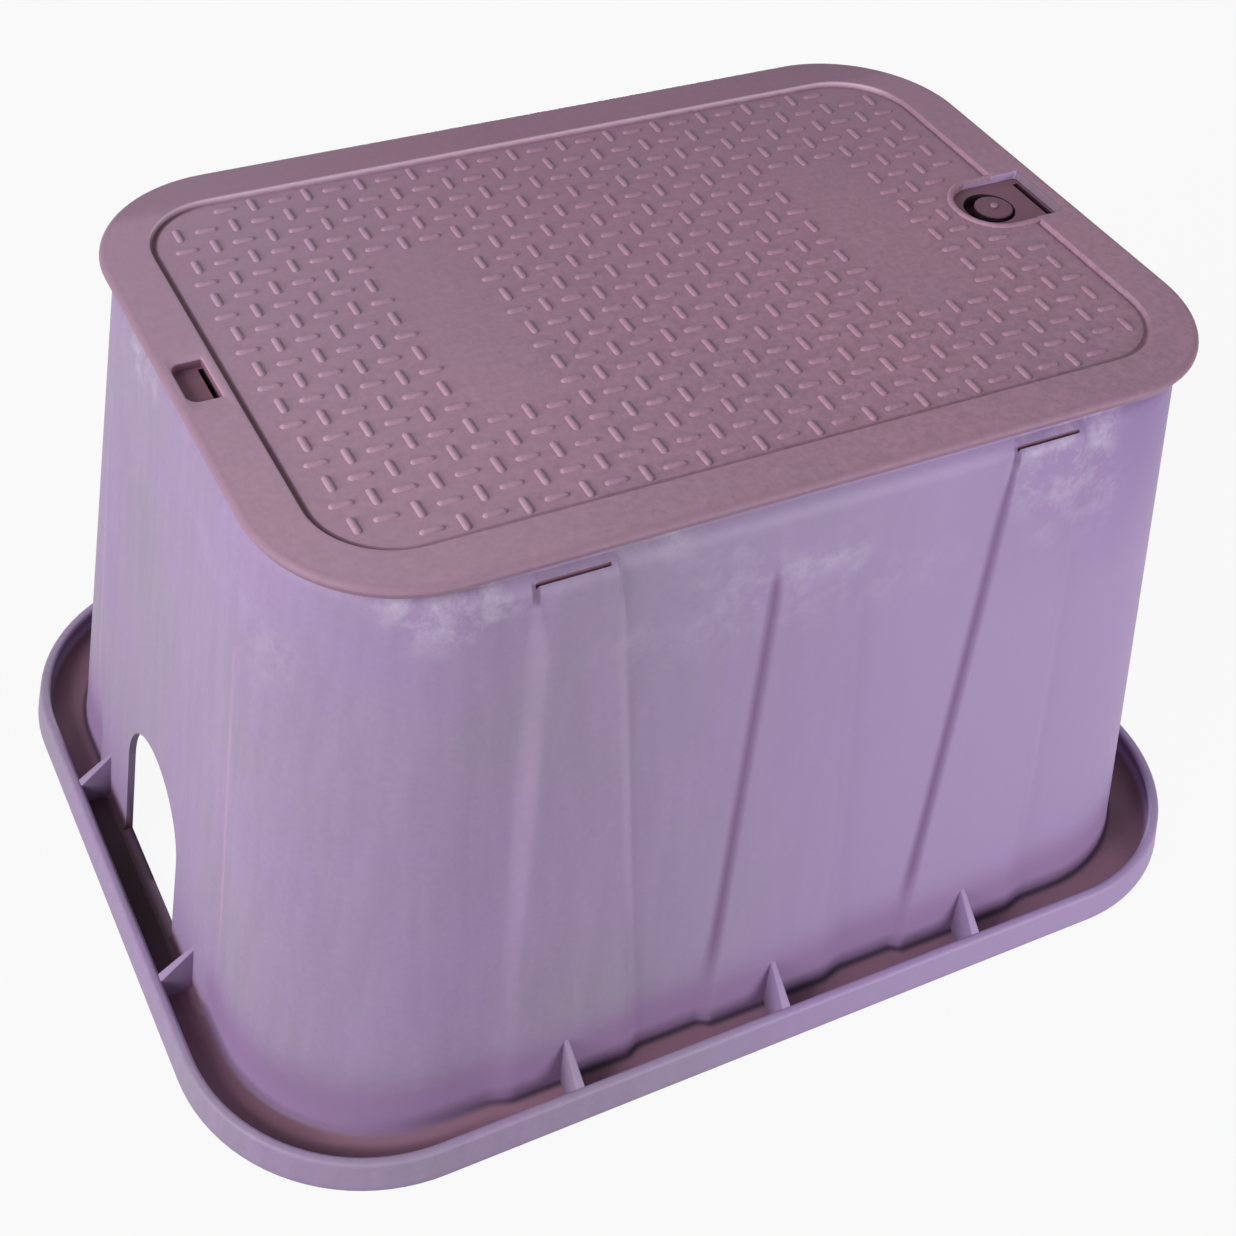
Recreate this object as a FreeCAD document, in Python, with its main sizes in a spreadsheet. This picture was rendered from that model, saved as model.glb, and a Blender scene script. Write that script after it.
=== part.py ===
import FreeCAD, Part
import math
import os
import Sketcher

# Irrigation valve box: a tapered, open-bottomed box with an upturned base flange, and a loose
# lift-off cover with a raised tread. Millimetres, +Z up. The origin is at the centre of the base
# flange's underside, +X runs along the box's length.

doc = FreeCAD.newDocument("valve_box")

# Driving dimensions, one cell each.
SIZES = [
    # Box wall: a rounded rectangle that narrows from the foot up to the shoulder.
    ("overall_height", 305.0),
    ("foot_length", 501.0),
    ("foot_width", 366.0),
    ("shoulder_length", 438.0),
    ("shoulder_width", 300.0),
    ("wall_corner", 78.0),
    ("shoulder_corner_ease", 2.0),
    ("wall", 3.6),
    # Top of the box: a flat shoulder with a low collar that carries the cover.
    ("shoulder_plate", 4.0),
    ("collar_height", 5.0),
    ("collar_inset", 4.0),
    ("collar_thickness", 4.5),
    # Base flange: a floor and a lip that leans in as it rises.
    ("flange_length", 548.0),
    ("flange_width", 414.0),
    ("flange_corner", 94.0),
    ("flange_floor", 4.0),
    ("lip_height", 17.0),
    ("lip_lean", 3.0),
    ("lip_thickness", 5.0),
    ("lip_round", 1.8),
    # Flutes on the long sides, wider at the foot, and the flat panel on each end.
    ("flute_spacing", 110.5),
    ("flute_foot_width", 73.0),
    ("flute_head_width", 35.0),
    ("flute_proud", 3.4),
    ("flute_head_proud", 1.3),
    ("middle_flute_drop", 22.0),
    ("fade", 0.5),
    ("end_panel_width", 171.0),
    ("end_panel_drop", 32.0),
    ("end_panel_proud", 2.4),
    # Vent slots in the shoulder at the head of each outer flute.
    ("vent_length", 29.5),
    ("vent_gap", 3.9),
    # Gussets between the wall and the lip.
    ("gusset_thickness", 4.0),
    ("gusset_height", 34.0),
    ("end_gusset_offset", 66.0),
    # Arched pipe slot in each end wall, above the flange floor.
    ("pipe_slot_width", 74.0),
    ("pipe_slot_height", 95.0),
    # Cover plate, its flat border and its sunk tread panel.
    ("cover_length", 441.0),
    ("cover_width", 298.0),
    ("cover_corner", 64.0),
    ("cover_thickness", 6.0),
    ("cover_round", 2.6),
    ("cover_undercut", 1.6),
    ("border", 23.2),
    ("panel_corner", 36.0),
    ("panel_depth", 1.8),
    ("panel_slope", 2.4),
    # Tread bars: a basket weave of short bars, with two bare fields.
    ("tread_pitch", 13.0),
    ("bar_length", 11.0),
    ("bar_width", 3.8),
    ("bar_height", 1.5),
    ("bar_hip", 1.6),
    ("bar_margin", 0.5),
    ("bare_length", 39.0),
    ("bare_width", 117.0),
    ("bare_left", 91.0),
    ("bare_right", 117.0),
    # Pry slot at the left end.
    ("pry_edge", 5.0),
    ("pry_length", 27.0),
    ("pry_width", 14.0),
    ("pry_corner", 5.0),
    ("pry_depth", 4.4),
    ("pry_slit", 3.4),
    # Lock recess at the right end: a pocket with a round well and a knock-out disc.
    ("lock_edge", 8.5),
    ("lock_length", 46.0),
    ("lock_width", 37.0),
    ("lock_depth", 4.0),
    ("lock_slit", 3.8),
    ("lock_slit_edge", 3.4),
    ("rim_slope", 1.4),
    ("rim_width", 2.6),
    ("rim_step", 0.3),
    ("well_diameter", 25.0),
    ("well_depth", 10.0),
    ("well_wall", 2.6),
    ("disc_diameter", 16.0),
    ("disc_height", 5.0),
    ("nub_diameter", 3.4),
    ("nub_height", 1.0),
    # Locating skirt and stiffening ribs under the cover.
    ("cover_play", 1.5),
    ("skirt_depth", 16.0),
    ("rib_thickness", 3.4),
    ("rib_depth", 14.0),
    ("rib_spacing", 44.0),
]

sheet = doc.addObject("Spreadsheet::Sheet", "Dims")
for row, (alias, value) in enumerate(SIZES, start=1):
    sheet.set("A%d" % row, alias)
    sheet.set("B%d" % row, repr(value))
    sheet.setAlias("B%d" % row, alias)
doc.recompute()


def size(alias):
    """The number in the sheet's cell of that name."""
    return float(getattr(sheet, alias))


def bind(obj, **expressions):
    """Tie properties of an object to the sheet. Each bare word in an expression is a cell."""
    for prop, text in expressions.items():
        obj.setExpression(prop.replace("__", "."), cells(text))
    return obj


def cells(text):
    """Put the sheet's name in front of every cell name in an expression."""
    names = {alias for alias, _ in SIZES}
    out = ""
    word = ""
    for char in text + " ":
        if char.isalnum() or char == "_":
            word += char
            continue
        out += "Dims." + word if word in names else word
        out += char
        word = ""
    return out.strip()


ROUND_STEPS = 3
SHOULDER_LEVEL = "(overall_height - cover_thickness - collar_height)"
COVER_SEAT = "(overall_height - cover_thickness)"
SHOULDER_CORNER = "(wall_corner + shoulder_corner_ease)"
MIDDLE_HEAD = "(%s - middle_flute_drop)" % SHOULDER_LEVEL
PANEL_HEAD = "(%s - end_panel_drop)" % SHOULDER_LEVEL


def wall_half(foot, shoulder, level):
    """Half the wall's outer size at a level, between its foot and its shoulder."""
    return "((%s - (%s - %s) * (%s) / %s) / 2)" % (foot, foot, shoulder, level, SHOULDER_LEVEL)


def outline(name, length, width, corner, level):
    """A sketch of a rounded rectangle about the Z axis, at a level, with three sizes."""
    sketch = doc.addObject("Sketcher::SketchObject", name)
    x, y, r = 200.0, 120.0, 30.0
    vec = FreeCAD.Vector
    flat = [
        ((-x + r, -y), (x - r, -y)),
        ((x, -y + r), (x, y - r)),
        ((x - r, y), (-x + r, y)),
        ((-x, y - r), (-x, -y + r)),
    ]
    for start, end in flat:
        sketch.addGeometry(Part.LineSegment(vec(*start, 0), vec(*end, 0)), False)
    centres = [(x - r, -y + r, 270), (x - r, y - r, 0), (-x + r, y - r, 90), (-x + r, -y + r, 180)]
    for cx, cy, angle in centres:
        circle = Part.Circle(vec(cx, cy, 0), vec(0, 0, 1), r)
        first = math.radians(angle)
        sketch.addGeometry(Part.ArcOfCircle(circle, first, first + math.pi / 2), False)
    add = sketch.addConstraint
    for line in range(4):
        arc = 4 + line
        add(Sketcher.Constraint("Tangent", line, 2, arc, 1))
        add(Sketcher.Constraint("Tangent", arc, 2, (line + 1) % 4, 1))
    add(Sketcher.Constraint("Horizontal", 0))
    add(Sketcher.Constraint("Vertical", 1))
    add(Sketcher.Constraint("Horizontal", 2))
    add(Sketcher.Constraint("Vertical", 3))
    for arc in (5, 6, 7):
        add(Sketcher.Constraint("Equal", 4, arc))
    add(Sketcher.Constraint("Symmetric", 4, 3, 6, 3, -1, 1))
    for label, geometry in (("Length", (0, 1, 0)), ("Width", (0, 1, 1)), ("Corner", (4,))):
        if label == "Length":
            index = add(Sketcher.Constraint("DistanceX", 3, 1, 1, 1, 2 * x))
        elif label == "Width":
            index = add(Sketcher.Constraint("DistanceY", 0, 1, 2, 1, 2 * y))
        else:
            index = add(Sketcher.Constraint("Radius", 4, r))
        sketch.renameConstraint(index, label)
    sketch.setExpression("Constraints.Length", cells(length))
    sketch.setExpression("Constraints.Width", cells(width))
    sketch.setExpression("Constraints.Corner", cells(corner))
    sketch.setExpression("Placement.Base.z", cells(level))
    return sketch


def loft(name, *sections):
    """A solid with flat sides between outlines at different levels."""
    obj = doc.addObject("Part::Loft", name)
    obj.Sections = list(sections)
    obj.Solid = True
    obj.Ruled = True
    return obj


def extrude(name, sketch, height):
    """A solid that rises from a sketch."""
    obj = doc.addObject("Part::Extrusion", name)
    obj.Base = sketch
    obj.DirMode = "Normal"
    obj.Solid = True
    obj.setExpression("LengthFwd", cells(height))
    return obj


def taper(name, low, high, half_x, half_x_top, half_y, half_y_top, x="0", y="0"):
    """A block about (x, y) whose half sizes change evenly from a low to a high level."""
    obj = doc.addObject("Part::Wedge", name)
    obj.Placement = FreeCAD.Placement(FreeCAD.Vector(), FreeCAD.Rotation(FreeCAD.Vector(1, 0, 0), 90))
    bind(obj, Ymax=high, Ymin=low)
    bind(obj, Xmax=half_x, Xmin="-(%s)" % half_x, X2max=half_x_top, X2min="-(%s)" % half_x_top)
    bind(obj, Zmax=half_y, Zmin="-(%s)" % half_y, Z2max=half_y_top, Z2min="-(%s)" % half_y_top)
    obj.setExpression("Placement.Base.x", cells(x))
    obj.setExpression("Placement.Base.y", cells(y))
    return obj


def block(name, x, y, z, length, width, height):
    """A box centred on (x, y) that rises from z."""
    obj = doc.addObject("Part::Box", name)
    bind(obj, Length=length, Width=width, Height=height)
    obj.setExpression("Placement.Base.x", cells("%s - (%s) / 2" % (x, length)))
    obj.setExpression("Placement.Base.y", cells("%s - (%s) / 2" % (y, width)))
    obj.setExpression("Placement.Base.z", cells(z))
    return obj


def post(name, x, y, z, diameter, height):
    """An upright cylinder that rises from z."""
    obj = doc.addObject("Part::Cylinder", name)
    bind(obj, Radius="(%s) / 2" % diameter, Height=height)
    obj.setExpression("Placement.Base.x", cells(x))
    obj.setExpression("Placement.Base.y", cells(y))
    obj.setExpression("Placement.Base.z", cells(z))
    return obj


def fuse(name, *parts):
    obj = doc.addObject("Part::MultiFuse", name)
    obj.Shapes = list(parts)
    obj.Refine = True
    return obj


def cut(name, base, tool):
    obj = doc.addObject("Part::Cut", name)
    obj.Base = base
    obj.Tool = tool
    obj.Refine = True
    return obj


def rounded_rim(name, length, width, corner, inset, top_level, radius):
    """Outlines that draw in along a quarter circle, from a wall's top up to its flat rim."""
    outlines = []
    for step in range(ROUND_STEPS + 1):
        angle = math.radians(90 * step / ROUND_STEPS)
        draw = "(%s + %.4f * %s)" % (inset, 1 - math.cos(angle), radius)
        level = "%s - %.4f * %s" % (top_level, 1 - math.sin(angle), radius)
        outlines.append(outline("%s_%d" % (name, step), "%s - 2 * %s" % (length, draw),
                                "%s - 2 * %s" % (width, draw), "%s - %s" % (corner, draw), level))
    return outlines


def round_upright(name, block_with_flat_walls, radius):
    """Round the four edges that run up between the walls of a tapered block."""
    doc.recompute()
    obj = doc.addObject("Part::Fillet", name)
    obj.Base = block_with_flat_walls
    rounded = []
    for number, edge in enumerate(block_with_flat_walls.Shape.Edges, start=1):
        if edge.BoundBox.ZLength > 1.0:
            rounded.append((number, radius, radius))
    obj.Edges = rounded
    return obj


# Box body.
outer = round_upright(
    "wall_outer",
    taper("outer_block", "0", SHOULDER_LEVEL, "foot_length / 2", "shoulder_length / 2",
          "foot_width / 2", "shoulder_width / 2"),
    size("wall_corner"),
)
inner = round_upright(
    "wall_inner",
    taper("inner_block", "-1", SHOULDER_LEVEL,
          wall_half("foot_length", "shoulder_length", "-1") + " - wall", "shoulder_length / 2 - wall",
          wall_half("foot_width", "shoulder_width", "-1") + " - wall", "shoulder_width / 2 - wall"),
    size("wall_corner") - size("wall"),
)


def flute(name, x, head, head_proud, inset):
    """One flute through both long walls, or its hollow when it is set in by the wall."""
    foot_y = wall_half("foot_width", "shoulder_width", "-1")
    head_y = wall_half("foot_width", "shoulder_width", head)
    return taper(
        name, "-1" if inset != "0" else "0", head,
        "flute_foot_width / 2 - %s" % inset, "flute_head_width / 2 - %s" % inset,
        "%s + flute_proud - %s" % (foot_y, inset), "%s + %s - %s" % (head_y, head_proud, inset),
        x=x,
    )


def end_panel(name, inset):
    """The raised flat panel on both end walls, or its hollow."""
    foot_x = wall_half("foot_length", "shoulder_length", "-1")
    head_x = wall_half("foot_length", "shoulder_length", PANEL_HEAD)
    return taper(
        name, "-1" if inset != "0" else "0", PANEL_HEAD,
        "%s + end_panel_proud - %s" % (foot_x, inset), "%s - fade - %s" % (head_x, inset),
        "end_panel_width / 2 - %s" % inset, "end_panel_width / 2 - %s" % inset,
    )


UNDER_SHOULDER = "(%s - shoulder_plate)" % SHOULDER_LEVEL
FLUTES = [
    ("left", "-flute_spacing", SHOULDER_LEVEL, UNDER_SHOULDER, "flute_head_proud"),
    ("middle", "0", MIDDLE_HEAD, MIDDLE_HEAD, "(-fade)"),
    ("right", "flute_spacing", SHOULDER_LEVEL, UNDER_SHOULDER, "flute_head_proud"),
]
flutes = [flute("flute_" + side, x, head, proud, "0") for side, x, head, _, proud in FLUTES]
hollows = [flute("hollow_" + side, x, head, proud, "wall") for side, x, _, head, proud in FLUTES]

# Base flange: a tray whose side is the lip.
tray_outer = loft(
    "tray_outer",
    outline("tray_foot", "flange_length", "flange_width", "flange_corner", "0"),
    *rounded_rim("tray_rim", "flange_length", "flange_width", "flange_corner", "lip_lean",
                 "lip_height", "lip_round"),
)
tray_inner = loft(
    "tray_inner",
    outline("tray_floor", "flange_length - 2 * lip_thickness", "flange_width - 2 * lip_thickness",
            "flange_corner - lip_thickness", "flange_floor"),
    outline("tray_mouth", "flange_length - 2 * lip_thickness - 2 * lip_lean",
            "flange_width - 2 * lip_thickness - 2 * lip_lean",
            "flange_corner - lip_thickness - lip_lean", "lip_height"),
)
tray = cut("tray", tray_outer, tray_inner)


def gusset(name, x, y, along_x):
    """A pair of webs, one at each side of the box, from the wall down to the lip."""
    lip = "(%s / 2 - lip_thickness)" % ("flange_length" if along_x else "flange_width")
    low = "lip_height - 3 * lip_round / 2"
    if along_x:
        wall_at_head = wall_half("foot_length", "shoulder_length", "gusset_height")
        web = taper(name, low, "gusset_height", lip, wall_at_head,
                    "gusset_thickness / 2", "gusset_thickness / 2", x=x, y=y)
        foot = block(name + "_foot", x, y, "0", "2 * " + lip, "gusset_thickness", low)
    else:
        wall_at_head = wall_half("foot_width", "shoulder_width", "gusset_height")
        web = taper(name, low, "gusset_height", "gusset_thickness / 2", "gusset_thickness / 2",
                    lip, wall_at_head, x=x, y=y)
        foot = block(name + "_foot", x, y, "0", "gusset_thickness", "2 * " + lip, low)
    return [web, foot]


webs = []
for side, x in (("left", "-flute_spacing"), ("middle", "0"), ("right", "flute_spacing")):
    webs += gusset("gusset_" + side, x, "0", False)
webs += gusset("gusset_front", "0", "-end_gusset_offset", True)
webs += gusset("gusset_back", "0", "end_gusset_offset", True)

solid_box = fuse("solid_box", outer, *flutes, end_panel("end_panel", "0"), tray, *webs)
cavity = fuse("cavity", inner, *hollows, end_panel("end_hollow", "wall"))
open_box = cut("open_box", solid_box, cavity)

# Shoulder plate and collar, round the opening that the cover closes.
COLLAR_LENGTH = "shoulder_length - 2 * collar_inset"
COLLAR_WIDTH = "shoulder_width - 2 * collar_inset"
COLLAR_CORNER = SHOULDER_CORNER + " - collar_inset"
plate = extrude(
    "shoulder_slab",
    outline("slab_outline", "shoulder_length", "shoulder_width", SHOULDER_CORNER, UNDER_SHOULDER),
    "shoulder_plate",
)
collar = extrude(
    "collar",
    outline("collar_outline", COLLAR_LENGTH, COLLAR_WIDTH, COLLAR_CORNER, UNDER_SHOULDER),
    "shoulder_plate + collar_height",
)
mouth = extrude(
    "mouth",
    outline("mouth_outline", COLLAR_LENGTH + " - 2 * collar_thickness",
            COLLAR_WIDTH + " - 2 * collar_thickness", COLLAR_CORNER + " - collar_thickness",
            UNDER_SHOULDER + " - 1"),
    "shoulder_plate + collar_height + 2",
)
ring = cut("shoulder_ring", fuse("shoulder_solid", plate, collar), mouth)
closed_box = fuse("closed_box", open_box, ring)

# Pipe slots above the flange floor, and the vents beside the collar.
SLOT_REACH = "(foot_length + flange_length - 2 * lip_thickness)"
slot_head = doc.addObject("Part::Cylinder", "pipe_slot_head")
slot_head.Placement = FreeCAD.Placement(FreeCAD.Vector(), FreeCAD.Rotation(FreeCAD.Vector(0, 1, 0), 90))
bind(slot_head, Radius="pipe_slot_width / 2", Height=SLOT_REACH + " / 2")
slot_head.setExpression("Placement.Base.x", cells("-%s / 4" % SLOT_REACH))
slot_head.setExpression("Placement.Base.z", cells("pipe_slot_height - pipe_slot_width / 2"))
slot_foot = block("pipe_slot_foot", "0", "0", "flange_floor", SLOT_REACH + " / 2", "pipe_slot_width",
                  "pipe_slot_height - pipe_slot_width / 2 - flange_floor")
openings = [slot_head, slot_foot]
for side, x in (("left", "-flute_spacing"), ("right", "flute_spacing")):
    for face, sign in (("front", "-1"), ("back", "1")):
        middle = "%s * (shoulder_width / 2 - collar_inset + vent_gap / 2)" % sign
        openings.append(block("vent_%s_%s" % (side, face), x, middle, UNDER_SHOULDER + " - 1",
                              "vent_length", "vent_gap", "shoulder_plate + 2"))
box_body = cut("box_body", closed_box, fuse("box_openings", *openings))

# Cover plate: drawn in a little underneath, and rounded over at its top edge.
cover_plate = loft(
    "cover_plate",
    outline("cover_under", "cover_length - 2 * cover_undercut", "cover_width - 2 * cover_undercut",
            "cover_corner - cover_undercut", COVER_SEAT),
    *rounded_rim("cover_rim", "cover_length", "cover_width", "cover_corner", "0",
                 "overall_height", "cover_round"),
)

# Sunk tread panel with sloping sides.
PANEL = "- 2 * border"
panel_sink = loft(
    "panel_sink",
    outline("panel_floor", "cover_length %s - 2 * panel_slope" % PANEL,
            "cover_width %s - 2 * panel_slope" % PANEL, "panel_corner - panel_slope",
            "overall_height - panel_depth"),
    outline("panel_rim", "cover_length " + PANEL, "cover_width " + PANEL, "panel_corner",
            "overall_height"),
)

# Locating skirt inside the collar, and the ribs that it frames.
SKIRT = "- 2 * collar_thickness - 2 * cover_play"
skirt_outer = extrude(
    "skirt_outer",
    outline("skirt_outline", COLLAR_LENGTH + SKIRT, COLLAR_WIDTH + SKIRT,
            COLLAR_CORNER + " - collar_thickness - cover_play", COVER_SEAT + " - skirt_depth"),
    "skirt_depth",
)
skirt_inner = extrude(
    "skirt_inner",
    outline("skirt_bore", COLLAR_LENGTH + SKIRT + " - 2 * rib_thickness",
            COLLAR_WIDTH + SKIRT + " - 2 * rib_thickness",
            COLLAR_CORNER + " - collar_thickness - cover_play - rib_thickness",
            COVER_SEAT + " - skirt_depth"),
    "skirt_depth",
)
skirt = cut("skirt", skirt_outer, skirt_inner)
RIB_LEVEL = COVER_SEAT + " - rib_depth"
LONG_RIB = COLLAR_LENGTH + SKIRT + " - rib_thickness"
CROSS_RIB = COLLAR_WIDTH + SKIRT + " - rib_thickness"


def rib_steps(width):
    """The grid steps from the middle rib that keep half a cell or more from the skirt."""
    edge = size("collar_inset") + size("collar_thickness") + size("cover_play") + size("rib_thickness")
    room = size(width) / 2 - edge - size("rib_spacing") / 2
    count = int(room // size("rib_spacing"))
    return range(-count, count + 1)


ribs = []
for step in rib_steps("shoulder_width"):
    ribs.append(block("rib_long", "0", "%d * rib_spacing" % step, RIB_LEVEL,
                      LONG_RIB, "rib_thickness", "rib_depth"))
for step in rib_steps("shoulder_length"):
    ribs.append(block("rib_cross", "%d * rib_spacing" % step, "0", RIB_LEVEL,
                      "rib_thickness", CROSS_RIB, "rib_depth"))
rib_grid = doc.addObject("Part::Common", "rib_grid")
rib_grid.Base = fuse("rib_lattice", *ribs)
rib_grid.Tool = skirt_outer

# Lock recess: the well hangs below the plate as a cup.
LOCK_END = "(cover_length / 2 - lock_edge)"
WELL_X = "(%s - lock_length + lock_width / 2 - 1)" % LOCK_END
cup = post("well_cup", WELL_X, "0", "overall_height - well_depth - well_wall",
           "well_diameter + 2 * well_wall", "well_depth + well_wall - cover_thickness + 1")
cover_solid = fuse("cover_solid", cover_plate, skirt, rib_grid, cup)


def d_outline(tip_x, end_x, radius, level):
    """The lock recess's outline at one level: a half circle at tip_x, square at end_x."""
    middle = FreeCAD.Vector(tip_x + radius, radius, level)
    tip = FreeCAD.Vector(tip_x, 0, level)
    lower = FreeCAD.Vector(tip_x + radius, -radius, level)
    end_lower = FreeCAD.Vector(end_x, -radius, level)
    end_upper = FreeCAD.Vector(end_x, radius, level)
    return Part.Wire([
        Part.Arc(middle, tip, lower).toShape(),
        Part.makeLine(lower, end_lower),
        Part.makeLine(end_lower, end_upper),
        Part.makeLine(end_upper, middle),
    ])


def stack(name, wires):
    """One solid through outlines that lie above each other."""
    obj = doc.addObject("Part::Feature", name)
    shape = Part.makeLoft(wires[:2], True, True)
    if len(wires) > 2:
        shape = shape.fuse(Part.makeLoft(wires[1:], True, True)).removeSplitter()
    obj.Shape = shape
    return obj


top = size("overall_height")
rim_slope = size("rim_slope")
lock_end = size("cover_length") / 2 - size("lock_edge")
lock_tip = lock_end - size("lock_length")
lock_radius = size("lock_width") / 2
lock_pocket = stack("lock_pocket", [
    d_outline(lock_tip, lock_end, lock_radius, top - size("lock_depth")),
    d_outline(lock_tip, lock_end, lock_radius, top - rim_slope),
    d_outline(lock_tip - rim_slope, lock_end + rim_slope, lock_radius + rim_slope, top),
])
rim_grow = rim_slope + size("rim_width")
lock_rim = stack("lock_rim", [
    d_outline(lock_tip - rim_grow, lock_end, lock_radius + rim_grow, top - size("lock_depth")),
    d_outline(lock_tip - rim_grow, lock_end, lock_radius + rim_grow, top - size("rim_step") - rim_slope / 2),
    d_outline(lock_tip - rim_grow + rim_slope / 2, lock_end, lock_radius + rim_grow - rim_slope / 2,
              top - size("rim_step")),
])
well = post("well", WELL_X, "0", "overall_height - well_depth", "well_diameter", "well_depth")
lock_slit = block("lock_slit", LOCK_END + " - lock_slit_edge - lock_slit / 2", "0",
                  COVER_SEAT + " - skirt_depth - 1", "lock_slit", "lock_width - 2 * lock_edge",
                  "cover_thickness + skirt_depth + 1")

# Pry slot: a pocket with round outer corners and a slit along its inner side.
pry_left = -size("cover_length") / 2 + size("pry_edge")
pry_right = pry_left + size("pry_width")


def pry_section(level, grow):
    """The pry slot's outline at one level: round at the outer corners, square inside."""
    half = size("pry_length") / 2 + grow
    left = pry_left - grow
    right = pry_right + grow
    bend = size("pry_corner") + grow
    lean = bend * (1 - math.sqrt(0.5))
    vec = FreeCAD.Vector
    upper = Part.Arc(vec(left + bend, half, level), vec(left + lean, half - lean, level),
                     vec(left, half - bend, level))
    lower = Part.Arc(vec(left, -half + bend, level), vec(left + lean, -half + lean, level),
                     vec(left + bend, -half, level))
    return Part.Wire([
        upper.toShape(),
        Part.makeLine(vec(left, half - bend, level), vec(left, -half + bend, level)),
        lower.toShape(),
        Part.makeLine(vec(left + bend, -half, level), vec(right, -half, level)),
        Part.makeLine(vec(right, -half, level), vec(right, half, level)),
        Part.makeLine(vec(right, half, level), vec(left + bend, half, level)),
    ])


pry_pocket = stack("pry_pocket", [
    pry_section(top - size("pry_depth"), 0.0),
    pry_section(top - rim_slope / 2, 0.0),
    pry_section(top, rim_slope / 2),
])
pry_slit = block("pry_slit", "-cover_length / 2 + pry_edge + pry_width - pry_slit / 2", "0",
                 COVER_SEAT + " - 1", "pry_slit", "pry_length - 2 * rim_slope",
                 "cover_thickness")

cover_sunk = cut("cover_sunk", cover_solid, panel_sink)
cover_rimmed = fuse("cover_rimmed", cover_sunk, lock_rim)
cover_cuts = fuse("cover_cuts", lock_pocket, well, lock_slit, pry_pocket, pry_slit)
cover_open = cut("cover_open", cover_rimmed, cover_cuts)
disc = post("knock_out_disc", WELL_X, "0", "overall_height - well_depth", "disc_diameter",
            "disc_height")
nub = post("knock_out_nub", WELL_X, "0", "overall_height - well_depth + disc_height",
           "nub_diameter", "nub_height")
cover_plain = fuse("cover_plain", cover_open, disc, nub)


def tread_bars():
    """Every bar of the basket weave, as tapered blocks that stand on the sunk panel."""
    pitch = size("tread_pitch")
    floor = top - size("panel_depth")
    corner = size("panel_corner") - size("panel_slope")
    half_x = size("cover_length") / 2 - size("border") - size("panel_slope")
    half_y = size("cover_width") / 2 - size("border") - size("panel_slope")
    reach = size("bar_length") / 2 + size("bar_margin")
    columns = int((half_x - reach) // pitch)
    rows = int((half_y - reach) // pitch)
    sink = 0.2
    bars = []
    for i in range(-columns, columns + 1):
        for j in range(-rows, rows + 1):
            x = i * pitch
            y = j * pitch
            if on_bare_field(x, y) or near_recess(x, y, reach):
                continue
            upright = (i + j) % 2 == 0
            if outside_corner(abs(x), abs(y), half_x, half_y, corner, upright):
                continue
            bars.append(bar(x, y, floor - sink, size("bar_height") + sink, upright))
    return bars


def on_bare_field(x, y):
    """True on the two fields of the panel that carry no bars."""
    if abs(y) > size("bare_width") / 2:
        return False
    half = size("bare_length") / 2
    return abs(x + size("bare_left")) < half or abs(x - size("bare_right")) < half


def near_recess(x, y, reach):
    """True where a bar would run into the lock recess."""
    half = lock_radius + rim_grow
    dx = x - (lock_tip + lock_radius)
    if dx > 0:
        return abs(y) < half + reach
    return math.hypot(dx, y) < half + reach


def outside_corner(x, y, half_x, half_y, corner, upright):
    """True where a bar's own outer corner would cross the panel's rounded corner."""
    length = size("bar_length") / 2 + size("bar_margin")
    width = size("bar_width") / 2 + size("bar_margin")
    reach_x, reach_y = (width, length) if upright else (length, width)
    dx = x + reach_x - (half_x - corner)
    dy = y + reach_y - (half_y - corner)
    return dx > 0 and dy > 0 and math.hypot(dx, dy) > corner


def bar(x, y, base, height, upright):
    """One bar: a hipped ridge, with sides and ends that slope up to one line."""
    length = size("bar_length") / 2
    width = size("bar_width") / 2
    ridge = length - size("bar_hip")
    half_x, half_y = (width, length) if upright else (length, width)
    top_x, top_y = (0.0, ridge) if upright else (ridge, 0.0)
    foot = [(-half_x, -half_y), (half_x, -half_y), (half_x, half_y), (-half_x, half_y)]
    low = [FreeCAD.Vector(x + u, y + v, base) for u, v in foot]
    start = FreeCAD.Vector(x - top_x, y - top_y, base + height)
    end = FreeCAD.Vector(x + top_x, y + top_y, base + height)
    if upright:
        sides = [(low[0], low[1], start), (low[1], low[2], end, start),
                 (low[2], low[3], end), (low[3], low[0], start, end)]
    else:
        sides = [(low[3], low[0], start), (low[0], low[1], end, start),
                 (low[1], low[2], end), (low[2], low[3], start, end)]
    faces = [Part.Face(Part.makePolygon(list(side) + [side[0]])) for side in sides + [tuple(low)]]
    return Part.Solid(Part.makeShell(faces))


doc.recompute()
cover = doc.addObject("Part::Feature", "cover")
cover.Shape = cover_plain.Shape.fuse(tread_bars())
cover.Placement = FreeCAD.Placement()

box_body.Label = "box_body"
cover.Label = "cover"
doc.recompute()

faults = [obj.Name for obj in doc.Objects if "Invalid" in obj.State or "Error" in obj.State]
if faults:
    raise RuntimeError("features failed: " + ", ".join(faults))

os.makedirs("parts", exist_ok=True)
for piece in (box_body, cover):
    shape = piece.Shape
    if shape.isNull() or not shape.isValid():
        raise RuntimeError(piece.Label + " has no valid shape")
    if len(shape.Solids) != 1:
        raise RuntimeError("%s has %d solids" % (piece.Label, len(shape.Solids)))
    shape.exportStep("parts/%s.step" % piece.Label)
    box = shape.BoundBox
    print(piece.Label, "volume %.0f" % shape.Volume,
          "x %.1f %.1f y %.1f %.1f z %.1f %.1f" % (box.XMin, box.XMax, box.YMin, box.YMax, box.ZMin, box.ZMax))
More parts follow.
